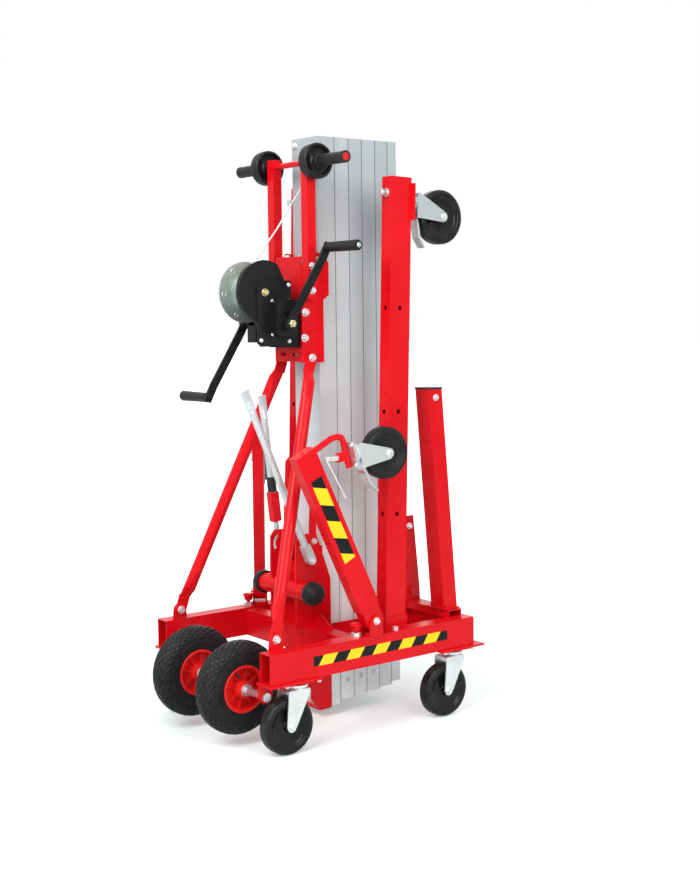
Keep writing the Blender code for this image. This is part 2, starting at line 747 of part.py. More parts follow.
def front_leg(side):
    half_x = LEG_HALF_X
    half_y = LEG_HALF_Y
    body = square_tube(-half_x, half_x, -half_y, half_y, LEG_WALL, "Z", 0.0, LEG_LENGTH)
    steps = []
    pad = box(-0.034, 0.034, half_y - EMBED, half_y + 0.006, LEG_LENGTH - 0.121,
              LEG_LENGTH - 0.016)
    steps.append(join(pad))
    for z in (0.40, 0.70, 1.00):
        steps.append(cut(rod((0.0, -half_y - 0.01, z), (0.0, -half_y + 0.01, z), 0.007, 9)))
        steps.append(cut(rod((side * (half_x - 0.01), 0.0, z), (side * (half_x + 0.01), 0.0, z), 0.007, 9)))
    knob = LEG_LENGTH - 0.046
    steps.append(join(rod((0.0, -half_y + EMBED, knob), (0.0, -half_y - 0.012, knob), 0.007, 12)))
    steps.append(join(rod((0.0, -half_y - 0.011, knob), (0.0, -half_y - 0.026, knob), 0.010, 16)))
    place = lean_matrix(side * LEG_X, LEG_FOOT[0], LEG_FOOT[1], -LEG_LEAN)
    return placed(body, "front_leg_" + side_name(side), red_paint("leg_paint_" + side_name(side)),
                  place, steps)


def caster_fork(name, place, height, radius):
    """A swivel fork hanging from z = 0, its wheel trailing towards -Y."""
    drop = height - radius
    trail = CASTER_TRAIL
    leg_x = (CASTER_WIDTH / 2 + 0.0035, CASTER_WIDTH / 2 + 0.0075)
    body = lathe([(0.0, -GAP), (0.024, -GAP), (0.031, -0.004), (0.031, -0.010), (0.024, -0.0165),
                  (0.0, -0.0165)], 14)
    steps = [join(box(EMBED - leg_x[1], leg_x[1] - EMBED, -0.045, 0.025, -0.020, -0.0145))]
    for side in (-1, 1):
        near, far = sorted((side * leg_x[0], side * leg_x[1]))
        cheek = prism(
            [(0.026, -0.0155), (0.026, -0.026), (-trail + 0.016, -drop - 0.002)]
            + arc((-trail, -drop), 0.015, -8, -172, 4)
            + [(-trail - 0.016, -drop), (-0.046, -0.030), (-0.046, -0.0155)],
            "X", near, far
        )
        steps.append(join(cheek))
        steps.append(bolt(side * leg_x[1], -trail, -drop, "X", side * 0.006, 0.0085))
    steps.append(join(rod((-leg_x[1], -trail, -drop), (leg_x[1], -trail, -drop), 0.006, 12)))
    return placed(body, name, zinc_steel(name + "_zinc"), place, steps)


def caster_wheel(name, place, height, radius):
    """A solid wheel on the axle of a caster fork."""
    half = CASTER_WIDTH / 2
    hub = half + 0.0035 - GAP
    bore = 0.006 + GAP
    profile = [(bore, hub), (0.014, hub), (0.016, half - 0.005), (radius * 0.68, half - 0.005),
               (radius * 0.71, half), (radius * 0.92, half), (radius, half - 0.008),
               (radius, -half + 0.008), (radius * 0.92, -half), (radius * 0.71, -half),
               (radius * 0.68, -half + 0.005), (0.016, -hub), (bore, -hub)]
    axle = Matrix.Translation((0.0, -CASTER_TRAIL, radius - height)) @ Matrix.Rotation(math.pi / 2, 4, "Y")
    return placed(lathe(profile, 20), name, black_rubber(name + "_rubber"), place @ axle)


def base_casters():
    for side in (1, -1):
        for end, y in (("rear", REAR_CASTER_Y), ("front", FRONT_CASTER_Y)):
            name = end + "_caster_" + side_name(side)
            place = Matrix.Translation((side * CASTER_X, y, CASTER_TOP))
            caster_fork(name + "_fork", place, CASTER_TOP, CASTER_RADIUS)
            caster_wheel(name + "_wheel", place, CASTER_TOP, CASTER_RADIUS)


LEG_CASTER_UP = LEG_LENGTH - 0.068
LEG_CASTER_HEIGHT = 0.196


def leg_casters():
    for side in (1, -1):
        leg = lean_matrix(side * LEG_X, LEG_FOOT[0], LEG_FOOT[1], -LEG_LEAN)
        turn = Matrix.Translation((0.0, LEG_HALF_Y + 0.006, LEG_CASTER_UP)) @ Matrix.Rotation(math.pi / 2, 4, "X")
        name = "leg_caster_" + side_name(side)
        caster_fork(name + "_fork", leg @ turn, LEG_CASTER_HEIGHT, CASTER_RADIUS)
        caster_wheel(name + "_wheel", leg @ turn, LEG_CASTER_HEIGHT, CASTER_RADIUS)


OUTRIGGER_CASTER = (ARM_TOP[0] + 0.1665, ARM_TOP[1] - 0.0085)
OUTRIGGER_CASTER_LEAN = math.radians(15.5)
OUTRIGGER_HEIGHT = 0.190
OUTRIGGER_RADIUS = 0.075
LUG_Y = ARM_TOP[0] + 0.1175
LUG_Z = ARM_TOP[1] - 0.017


def outrigger_place(side):
    """Frames of the swivelling bracket and of the arm, at the outrigger's pivot."""
    lean = ARM_LEAN_NEAR if side > 0 else ARM_LEAN_FAR
    swing = 0.0 if side > 0 else SWING_FAR
    stand = Matrix.Translation((side * PIVOT_X, PIVOT_Y, PIVOT_Z)) @ Matrix.Rotation(swing, 4, "Z")
    return stand, stand @ Matrix.Rotation(lean - ARM_LEAN_NEAR, 4, "X")


def outrigger_bracket(side):
    stand, _ = outrigger_place(side)
    foot = BEAM_TOP + GAP - PIVOT_Z
    ear_x = (ARM_HALF_X + GAP, ARM_HALF_X + GAP + 0.005)
    body = rod((0.0, 0.0, foot), (0.0, 0.0, foot + 0.006), 0.026, 24)
    steps = []
    for sign in (-1, 1):
        near, far = sorted((sign * ear_x[0], sign * ear_x[1]))
        ear = prism(
            [(-0.024, foot + 0.003), (0.024, foot + 0.003), (0.022, 0.0)]
            + arc((0.0, 0.0), 0.018, 20, 160, 6) + [(-0.022, 0.0)],
            "X", near, far
        )
        steps.append(join(ear))
        steps.append(bolt(sign * ear_x[1], 0.0, 0.0, "X", sign * 0.007, 0.0085))
    bridge = box(EMBED - ear_x[1], ear_x[1] - EMBED, -0.0215, 0.0215, foot + 0.001, foot + 0.0075)
    steps.append(join(bridge))
    return placed(body, "outrigger_bracket_" + side_name(side),
                  red_paint("bracket_paint_" + side_name(side)), stand, steps)


def bent_bar(route, radius):
    """A round bar that bends in the YZ plane, its rings mitred at the bends."""
    shape = bmesh.new()
    rings = []
    points = [Vector((0.0, y, z)) for y, z in route]
    for index, point in enumerate(points):
        before = point - points[index - 1] if index else points[1] - point
        after = points[index + 1] - point if index + 1 < len(points) else before
        way = (before.normalized() + after.normalized()).normalized()
        across = way.cross(Vector((1.0, 0.0, 0.0)))
        stretch = 1.0 / way.dot(before.normalized())
        ring = []
        for corner in range(12):
            angle = 2 * math.pi * corner / 12
            offset = Vector((radius * math.cos(angle), 0.0, 0.0))
            offset += across * radius * stretch * math.sin(angle)
            ring.append(shape.verts.new(point + offset))
        rings.append(ring)
    for first, second in zip(rings, rings[1:]):
        for corner in range(12):
            after = (corner + 1) % 12
            face = shape.faces.new((first[corner], first[after], second[after], second[corner]))
            face.smooth = True
    shape.faces.new(rings[0])
    shape.faces.new(rings[-1])
    return mesh_object(shape)


def outrigger_arm(side):
    _, place = outrigger_place(side)
    tilt = Matrix.Rotation(ARM_LEAN_NEAR, 4, "X")
    depth = ARM_HALF_DEPTH
    tube = moved(
        square_tube(-ARM_HALF_X, ARM_HALF_X, -depth, depth, 0.003, "Z", 0.045, ARM_LENGTH), tilt
    )
    tongue = prism(
        [(-0.030, 0.060)] + arc((0.0, 0.0), 0.030, 180, 360, 10) + [(0.030, 0.060)],
        "X", GAP - ARM_HALF_X, ARM_HALF_X - GAP
    )
    cap = box(-ARM_HALF_X - 0.0005, ARM_HALF_X + 0.0005, -depth - 0.0005, depth + 0.0005,
              ARM_LENGTH - EMBED, ARM_LENGTH + 0.005)
    core = box(-0.008, 0.008, -0.012, 0.012, ARM_LENGTH - 0.010, ARM_LENGTH + 0.003)
    nub = rod((0.0, 0.0, ARM_LENGTH + 0.003), (0.0, 0.0, ARM_LENGTH + 0.007), 0.006, 10)
    steps = [join(moved(shape, tilt)) for shape in (tongue, cap, core, nub)]
    neck = bent_bar(
        [(0.0115, -0.0205), (0.0305, 0.0035), (0.0985, 0.0385), (0.1195, 0.0425), (0.1325, 0.0395),
         (0.139, 0.0295), (0.160, -0.0465)],
        0.009
    )
    steps.append(join(moved(neck, Matrix.Translation((0.0, *ARM_TOP)))))
    caster = Matrix.Translation((0.0, *OUTRIGGER_CASTER)) @ Matrix.Rotation(OUTRIGGER_CASTER_LEAN, 4, "X")
    plate = box(-0.032, 0.032, -0.0085, -0.001, -0.038, 0.038)
    steps.append(join(moved(plate, caster)))
    lug = prism([(LUG_Y, LUG_Z - 0.0125), (LUG_Y + 0.038, LUG_Z - 0.0085),
                 (LUG_Y + 0.032, LUG_Z + 0.0175), (LUG_Y, LUG_Z + 0.0125)],
                "X", -0.007, 0.007)
    steps.append(join(lug))
    return placed(body=tube, name="outrigger_arm_" + side_name(side),
                  material=red_paint("arm_paint_" + side_name(side)), matrix=place, steps=steps)


def outrigger_casters():
    for side in (1, -1):
        _, place = outrigger_place(side)
        caster = Matrix.Translation((0.0, *OUTRIGGER_CASTER)) @ Matrix.Rotation(
            math.pi / 2 + OUTRIGGER_CASTER_LEAN, 4, "X")
        shift = Matrix.Translation((0.0, 0.0, 0.001))
        name = "outrigger_caster_" + side_name(side)
        caster_fork(name + "_fork", place @ caster @ shift, OUTRIGGER_HEIGHT, OUTRIGGER_RADIUS)
        caster_wheel(name + "_wheel", place @ caster @ shift, OUTRIGGER_HEIGHT, OUTRIGGER_RADIUS)


def outrigger_plunger(side):
    """Spring plunger behind the lug, with its thin lever."""
    _, place = outrigger_place(side)
    body = rod((0.0, LUG_Y - GAP, LUG_Z), (0.0, LUG_Y - 0.034, LUG_Z), 0.009, 14)
    hook = (0.012, LUG_Y + 0.019, LUG_Z - 0.1125)
    steps = [join(rod((0.0, LUG_Y - 0.032, LUG_Z), (0.0, LUG_Y - 0.042, LUG_Z), 0.005, 12)),
             join(rod((0.0, LUG_Y - 0.038, LUG_Z), hook, 0.0028, 8))]
    return placed(body, "outrigger_plunger_" + side_name(side),
                  zinc_steel("plunger_zinc_" + side_name(side)), place, steps)


def brace(side):
    lean = math.radians(23.6) if side > 0 else math.radians(6.5)
    length = 0.553 if side > 0 else 0.484
    half = BRACE_HALF
    body = prism(
        [(-0.012, 0.050)] + arc((0.0, 0.0), 0.013, 180, 360, 8) + [(0.012, 0.050)],
        "X", -half, half
    )
    up = Vector((0.0, 0.0, 1.0))
    tube_start = 0.040 if side > 0 else 0.225
    tube = loft([(up * tube_start, up, BRACE_RADIUS, BRACE_RADIUS),
                 (up * (length - 0.070), up, BRACE_RADIUS, BRACE_RADIUS),
                 (up * (length - 0.030), up, 0.004, 0.0145),
                 (up * length, up, 0.003, 0.0150)], 14)
    steps = [join(tube), bolt(side * half, 0.0, 0.0, "X", side * 0.006, 0.008)]
    if side < 0:
        steps.append(join(rod((0.0, 0.0, 0.045), (0.0, 0.0, 0.105), 0.008, 12)))
        steps.append(join(box(-half, half, -0.014, 0.014, 0.100, 0.190)))
        steps.append(join(rod((0.0, 0.0, 0.185), (0.0, 0.0, 0.235), BRACE_RADIUS + 0.0015, 16)))
    return placed(body, "brace_" + side_name(side), zinc_steel("brace_zinc_" + side_name(side)),
                  lean_matrix(side * BRACE_X, BRACE_Y, BRACE_Z, lean), steps)


def pneumatic_wheel(side):
    half = PNEUMATIC_HALF
    outer = PNEUMATIC_RADIUS
    bore = AXLE_RADIUS + GAP
    profile = [(bore, half + 0.004), (0.024, half + 0.004), (0.026, 0.014), (0.056, 0.012),
               (0.059, 0.031), (0.068, half - 0.004), (0.090, half),
               (0.116, half - 0.006), (outer, 0.014), (outer, -0.014),
               (0.116, -half + 0.006), (0.090, -half),
               (0.068, -half + 0.004), (0.059, -0.031), (0.056, -0.012),
               (0.026, -0.014), (0.024, -half - 0.004), (bore, -half - 0.004)]
    steps = []
    for index in range(8):
        window = prism([(0.0295, -0.0065), (0.0520, -0.0135), (0.0520, 0.0135), (0.0295, 0.0065)],
                       "Z", -0.03, 0.03)
        steps.append(cut(moved(window, Matrix.Rotation(2 * math.pi * (index + 0.21) / 8, 4, "Z"))))
    turn = Matrix.Rotation(math.pi / 2, 4, "Y")
    place = Matrix.Translation((side * PNEUMATIC_X, AXLE_Y, AXLE_Z)) @ turn
    return placed(lathe(profile, 28), "pneumatic_wheel_" + side_name(side),
                  black_rubber("tyre_rubber_" + side_name(side)), place, steps)


def wheel_axle():
    """One bar through both wheels, with collars that hold them in place."""
    body = rod((-AXLE_HALF, AXLE_Y, AXLE_Z), (AXLE_HALF, AXLE_Y, AXLE_Z), AXLE_RADIUS, 20)
    steps = []
    hub = PNEUMATIC_HALF + 0.004
    for side in (-1, 1):
        inner_end = side * (PNEUMATIC_X - hub - GAP)
        outer_end = side * (PNEUMATIC_X + hub + GAP)
        for start, end in ((inner_end, inner_end - side * 0.006), (outer_end, outer_end + side * 0.006)):
            steps.append(join(rod((start, AXLE_Y, AXLE_Z), (end, AXLE_Y, AXLE_Z), 0.016, 16)))
        steps.append(join(hexagon((side * (BEAM_INNER_X + 0.0055), AXLE_Y, AXLE_Z),
                                  (side * (AXLE_HALF + 0.001), AXLE_Y, AXLE_Z), 0.014)))
    return piece("wheel_axle", body, steps, zinc_steel("axle_zinc"), (0.0, AXLE_Y, AXLE_Z))


COVER_OUTER_X = 0.055
COVER_INNER_X = 0.040


def winch_frame():
    """Gear cover, gear case, back plate and tie bracket, in one body."""
    cover = (
        arc((DRUM_Y, DRUM_Z), 0.090, 60, 250, 16)
        + [(0.152, 1.165), (0.176, 1.118), (0.250, 1.118), (0.262, 1.150), (0.262, 1.262)]
    )
    body = prism(cover, "X", COVER_INNER_X, COVER_OUTER_X)
    steps = []
    steps.append(join(prism(
        arc((0.160, 1.286), 0.018, 90, 180, 4)
        + [(0.142, 1.124), (0.152, 1.118), (0.253, 1.118), (0.259, 1.124), (0.259, 1.304)],
        "X", COVER_OUTER_X - EMBED, COVER_OUTER_X + 0.006)))
    steps.append(join(prism(
        [(0.185, 1.156), (0.195, 1.146), (0.246, 1.146), (0.256, 1.156), (0.256, 1.240),
         (0.246, 1.250), (0.195, 1.250), (0.185, 1.240)],
        "X", COVER_OUTER_X + 0.004, 0.096)))
    steps.append(join(rod((0.090, CRANK_Y, CRANK_Z), (0.101, CRANK_Y, CRANK_Z), 0.021, 20)))
    for y, z in ((0.250, 1.292), (0.250, 1.130), (0.152, 1.134)):
        steps.append(bolt(COVER_OUTER_X + 0.006, y, z, "X", 0.004, 0.005))
    steps.append(bolt(COVER_OUTER_X + 0.006, 0.167, 1.270, "X", 0.010, 0.0085))
    back = box(-0.060, 0.058, 0.262, 0.291 - GAP, 1.110, 1.238)
    steps.append(join(back))
    left = prism(
        [(0.288, 1.112), (0.288, 1.236), (0.240, 1.300), (0.150, 1.298), (0.150, 1.245),
         (0.205, 1.150), (0.230, 1.112)],
        "X", -0.063, -0.0585
    )
    steps.append(join(left))
    steps.append(join(prism(
        [(0.146, 1.176), (0.146, 1.128), (0.177, 1.128), (0.177, 1.134), (0.152, 1.134), (0.152, 1.176)],
        "X", 0.0, COVER_INNER_X + EMBED)))
    steps.append(join(rod((-0.060, 0.262, 1.215), (0.042, 0.262, 1.215), 0.006, 12)))
    steps.append(cut(rod((-0.2, DRUM_Y, DRUM_Z), (COVER_OUTER_X - 0.008, DRUM_Y, DRUM_Z), 0.0125 + GAP, 20)))
    steps.append(cut(rod((-0.2, CRANK_Y, CRANK_Z), (0.2, CRANK_Y, CRANK_Z), CRANK_SHAFT_RADIUS + GAP, 20)))
    return piece("winch_frame", body, steps, black_paint("winch_paint"), (0.0, DRUM_Y, DRUM_Z))


def winch_drum():
    """Drum with two flanges and its axle, the far flange drilled."""
    cheek = -0.0585 + GAP
    profile = [(0.0, COVER_OUTER_X - 0.008 - GAP), (0.0125, COVER_OUTER_X - 0.008 - GAP),
               (0.0125, COVER_INNER_X - GAP), (DRUM_FLANGE - 0.003, COVER_INNER_X - GAP),
               (DRUM_FLANGE - 0.003, COVER_INNER_X - 0.004), (DRUM_CORE, COVER_INNER_X - 0.006),
               (DRUM_CORE, DRUM_INNER_X + 0.004), (DRUM_FLANGE, DRUM_INNER_X + 0.002),
               (DRUM_FLANGE, DRUM_INNER_X), (0.022, DRUM_INNER_X - 0.002), (0.022, cheek),
               (0.0125, cheek), (0.0125, -0.068), (0.0, -0.068)]
    steps = []
    for index in range(6):
        angle = 2 * math.pi * (index + 0.56) / 6
        at = Vector((0.073 * math.cos(angle), 0.073 * math.sin(angle), DRUM_INNER_X))
        steps.append(cut(moved(rod((0.0, 0.0, -0.02), (0.0, 0.0, 0.02), 0.0055, 9), Matrix.Translation(at))))
    turn = Matrix.Rotation(math.pi / 2, 4, "Y")
    place = Matrix.Translation((0.0, DRUM_Y, DRUM_Z)) @ turn
    return placed(lathe(profile, 28), "winch_drum", zinc_steel("drum_zinc"), place, steps)


def crank():
    """Cross shaft with both arms, which point opposite ways."""
    shaft_half = 0.124
    body = rod((-shaft_half, 0.0, 0.0), (shaft_half, 0.0, 0.0), CRANK_SHAFT_RADIUS, 16)
    steps = []
    for side in (1, -1):
        turn = Matrix.Rotation(CRANK_ANGLE - math.pi / 2 + (0 if side > 0 else math.pi), 4, "X")
        half = 0.0035
        middle = [(ARM_INNER_X, -0.016), (ARM_INNER_X, 0.030), (ARM_OUTER_X, CRANK_RADIUS - 0.040),
                  (ARM_OUTER_X, CRANK_RADIUS + 0.012)]
        outer = [(x + half, z) for x, z in middle]
        inner = [(x - half, z) for x, z in reversed(middle)]
        outline = [(side * x, z) for x, z in outer + inner]
        arm = prism(outline, "Y", -0.0125, 0.0125)
        steps.append(join(moved(arm, turn)))
        end_x = side * (ARM_INNER_X + half)
        boss = rod((side * (ARM_INNER_X - 0.012), 0.0, 0.0), (end_x + side * 0.002, 0.0, 0.0), 0.016, 16)
        steps.append(join(boss))
        pin = rod((side * ARM_OUTER_X, 0.0, CRANK_RADIUS), (side * 0.2905, 0.0, CRANK_RADIUS), 0.006, 12)
        steps.append(join(moved(pin, turn)))
        cap = rod((side * 0.288, 0.0, CRANK_RADIUS), (side * 0.2915, 0.0, CRANK_RADIUS), 0.009, 12)
        steps.append(join(moved(cap, turn)))
        steps.append(join(hexagon((end_x, 0.0, 0.0), (side * 0.133, 0.0, 0.0), 0.0105)))
    return placed(body, "crank", black_paint("crank_paint"),
                  Matrix.Translation((0.0, CRANK_Y, CRANK_Z)), steps)


def crank_grip(side):
    start = ARM_OUTER_X + 0.0035 + GAP
    length = 0.288 - GAP - start
    radius = CRANK_GRIP_RADIUS
    bore = 0.006 + GAP
    profile = [(bore, length), (radius - 0.003, length), (radius, length - 0.005),
               (radius - 0.001, length * 0.5), (radius - 0.003, 0.012), (radius - 0.001, 0.003),
               (radius - 0.002, 0.0), (bore, 0.0)]
    angle = CRANK_ANGLE + (0 if side > 0 else math.pi)
    y = CRANK_Y + CRANK_RADIUS * math.cos(angle)
    z = CRANK_Z + CRANK_RADIUS * math.sin(angle)
    place = Matrix.Translation((side * start, y, z)) @ Matrix.Rotation(side * math.pi / 2, 4, "Y")
    return placed(lathe(profile, 16), "crank_grip_" + side_name(side),
                  black_rubber("crank_grip_rubber_" + side_name(side)), place)


CABLE_RADIUS = 0.0024
CABLE_LEAVES = math.radians(140.3)
CABLE_WRAP = math.radians(200)
CABLE_ROUTE = ((0.257, 1.457), (0.285, 1.4965), (0.310, 1.531), (0.335, 1.564), (0.3575, 1.592),
               (0.372, 1.610))
CABLE_STEP = 0.0125


def winch_cable():
    """The rope from the drum up to the rear face of the mast."""
    curve = bpy.data.curves.new("winch_cable", "CURVE")
    curve.dimensions = "3D"
    curve.bevel_depth = CABLE_RADIUS
    curve.bevel_resolution = 2
    curve.use_fill_caps = True
    spline = curve.splines.new("POLY")
    reach = DRUM_CORE + CABLE_RADIUS + 2 * GAP
    turns = int(CABLE_WRAP * reach / CABLE_STEP)
    points = []
    for index in range(turns):
        share = 1 - index / turns
        angle = CABLE_LEAVES + CABLE_WRAP * share
        points.append(Vector((0.005 * share, DRUM_Y + reach * math.cos(angle),
                              DRUM_Z + reach * math.sin(angle))))
    leave = (DRUM_Y + reach * math.cos(CABLE_LEAVES), DRUM_Z + reach * math.sin(CABLE_LEAVES))
    route = [Vector((0.0, y, z)) for y, z in (leave, *CABLE_ROUTE)]
    for start, end in zip(route, route[1:]):
        count = max(2, round((end - start).length / CABLE_STEP))
        points += [start.lerp(end, index / count) for index in range(count)]
    points.append(route[-1])
    spline.points.add(len(points) - 1)
    for point, place in zip(spline.points, points):
        point.co = (*place, 1.0)
    obj = bpy.data.objects.new("winch_cable", curve)
    parts.objects.link(obj)
    curve.materials.append(zinc_steel("cable_steel"))
    return obj


def beam_plunger(side):
    """Spring knob that locks the outrigger bracket's swing."""
    body = lathe([(0.0, 0.040), (0.011, 0.040), (0.0135, 0.036), (0.0135, 0.022), (0.011, 0.018),
                  (0.006, 0.018), (0.006, 0.012), (0.0115, 0.012), (0.0115, GAP), (0.0, GAP)], 14)
    place = Matrix.Translation((side * BEAM_MID_X, 0.314, BEAM_TOP))
    return placed(body, "beam_plunger_" + side_name(side),
                  red_paint("knob_paint_" + side_name(side)), place)


def brake_pedal(side):
    """Foot pedal over the outrigger caster's wheel."""
    _, place = outrigger_place(side)
    caster = Matrix.Translation((0.0, *OUTRIGGER_CASTER)) @ Matrix.Rotation(
        math.pi / 2 + OUTRIGGER_CASTER_LEAN, 4, "X")
    shape = prism(
        [(-0.0453, -0.018), (-0.0453, -0.026), (-0.066, -0.031), (-0.096, -0.036), (-0.127, -0.055),
         (-0.131, -0.052), (-0.100, -0.029), (-0.068, -0.0235), (-0.056, -0.019)],
        "X", -0.016, 0.016
    )
    return placed(shape, "brake_pedal_" + side_name(side), red_paint("pedal_paint_" + side_name(side)),
                  place @ caster)


def build():
    for side in (1, -1):
        side_beam(side)
        strut(side)
        handle_grip(side)
        loading_wheel(side)
        fork(side)
        front_leg(side)
        outrigger_bracket(side)
        outrigger_arm(side)
        outrigger_plunger(side)
        brake_pedal(side)
        brace(side)
        pneumatic_wheel(side)
        crank_grip(side)
        beam_plunger(side)
    mast_base()
    bumper_bar()
    winch_bracket()
    handle_frame()
    for index, (name, rear, front, bottom) in enumerate(SECTIONS):
        mast_section(name, rear, front, bottom, index > 0)
    carriage_rail()
    carriage_frame()
    base_casters()
    leg_casters()
    outrigger_casters()
    wheel_axle()
    winch_frame()
    winch_drum()
    crank()
    winch_cable()


build()
for part in parts.objects:
    part.location -= Vector((CENTRE_X, CENTRE_Y, 0.0))
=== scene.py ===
import math

import bmesh
import bpy
from mathutils import Matrix, Vector


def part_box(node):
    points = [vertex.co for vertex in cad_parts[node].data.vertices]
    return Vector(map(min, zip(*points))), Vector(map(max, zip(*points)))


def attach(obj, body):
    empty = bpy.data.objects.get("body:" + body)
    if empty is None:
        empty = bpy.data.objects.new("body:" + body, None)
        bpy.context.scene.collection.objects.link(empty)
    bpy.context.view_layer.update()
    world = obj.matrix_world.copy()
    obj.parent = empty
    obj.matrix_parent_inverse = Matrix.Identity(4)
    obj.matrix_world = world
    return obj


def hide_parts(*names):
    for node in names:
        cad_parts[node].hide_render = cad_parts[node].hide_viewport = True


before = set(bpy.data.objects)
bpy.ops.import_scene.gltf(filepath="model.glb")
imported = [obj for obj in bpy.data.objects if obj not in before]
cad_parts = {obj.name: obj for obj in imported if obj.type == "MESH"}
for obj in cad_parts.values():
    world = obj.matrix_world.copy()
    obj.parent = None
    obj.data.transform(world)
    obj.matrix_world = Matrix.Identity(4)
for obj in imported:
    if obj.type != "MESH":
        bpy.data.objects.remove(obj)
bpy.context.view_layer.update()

# The CAD's measured frame has its zero at the rear ends of the beams. These move it to the row frame.
SHIFT_X = 0.1299
SHIFT_Y = -0.3325

SIDES = ((1, "right"), (-1, "left"))

PIVOT_X = 0.285
PIVOT_Y = 0.365
PIVOT_Z = 0.333
ARM_LEAN = math.radians(25.6)
FAR_LEAN = math.radians(-3.7)
FAR_SWING = math.radians(54)
BEAM_OUTER_X = 0.3015
ARM_HALF_X = 0.0175

WHEEL_RADIUS = 0.130
WHEEL_X = 0.118
WHEEL_Y = 0.015
WHEEL_Z = 0.164

STRIPE_PITCH = 0.0955
STRIPE_SLANT = 0.68

BEAM_MID_X = 0.2765
PLUNGER_Y = 0.314
BRACE_X = 0.080
BRACE_Y = 0.300
BRACE_Z = 0.486
LEG_X = 0.226
LEG_FOOT = (0.4815, 0.222)
LEG_LEAN = math.radians(1.67)
FORK_X = 0.225
FORK_Y = 0.6945
FORK_LENGTH = 0.664
FORK_LEAN = math.radians(4.9)
HANDLE_Y = 0.307
HANDLE_Z = 1.641
CRANK_Y = 0.214
CRANK_Z = 1.181
CRANK_RADIUS = 0.2445
CRANK_ANGLE = math.radians(62.2)
CASTER_FORK_HALF = 0.0275

CABLE_RADIUS = 0.0024
CABLE_LEAVES = math.radians(140.3)
CABLE_WRAP = math.radians(200)
CABLE_ROUTE = ((0.257, 1.457), (0.285, 1.4965), (0.310, 1.531), (0.335, 1.564), (0.3575, 1.592),
               (0.372, 1.610))
CABLE_STEP = 0.0125
DRUM_Y = 0.172
DRUM_Z = 1.272
DRUM_CORE = 0.050
DRUM_HOLES = 6
HOLE_CIRCLE = 0.073
STRAND_STEP = 0.0011
STRAND_LAY = 0.030
STRAND_CORNERS = 36


def row(x, y, z):
    """A place in the measured frame, moved to the row frame."""
    return Vector((x + SHIFT_X, y + SHIFT_Y, z))


# Materials


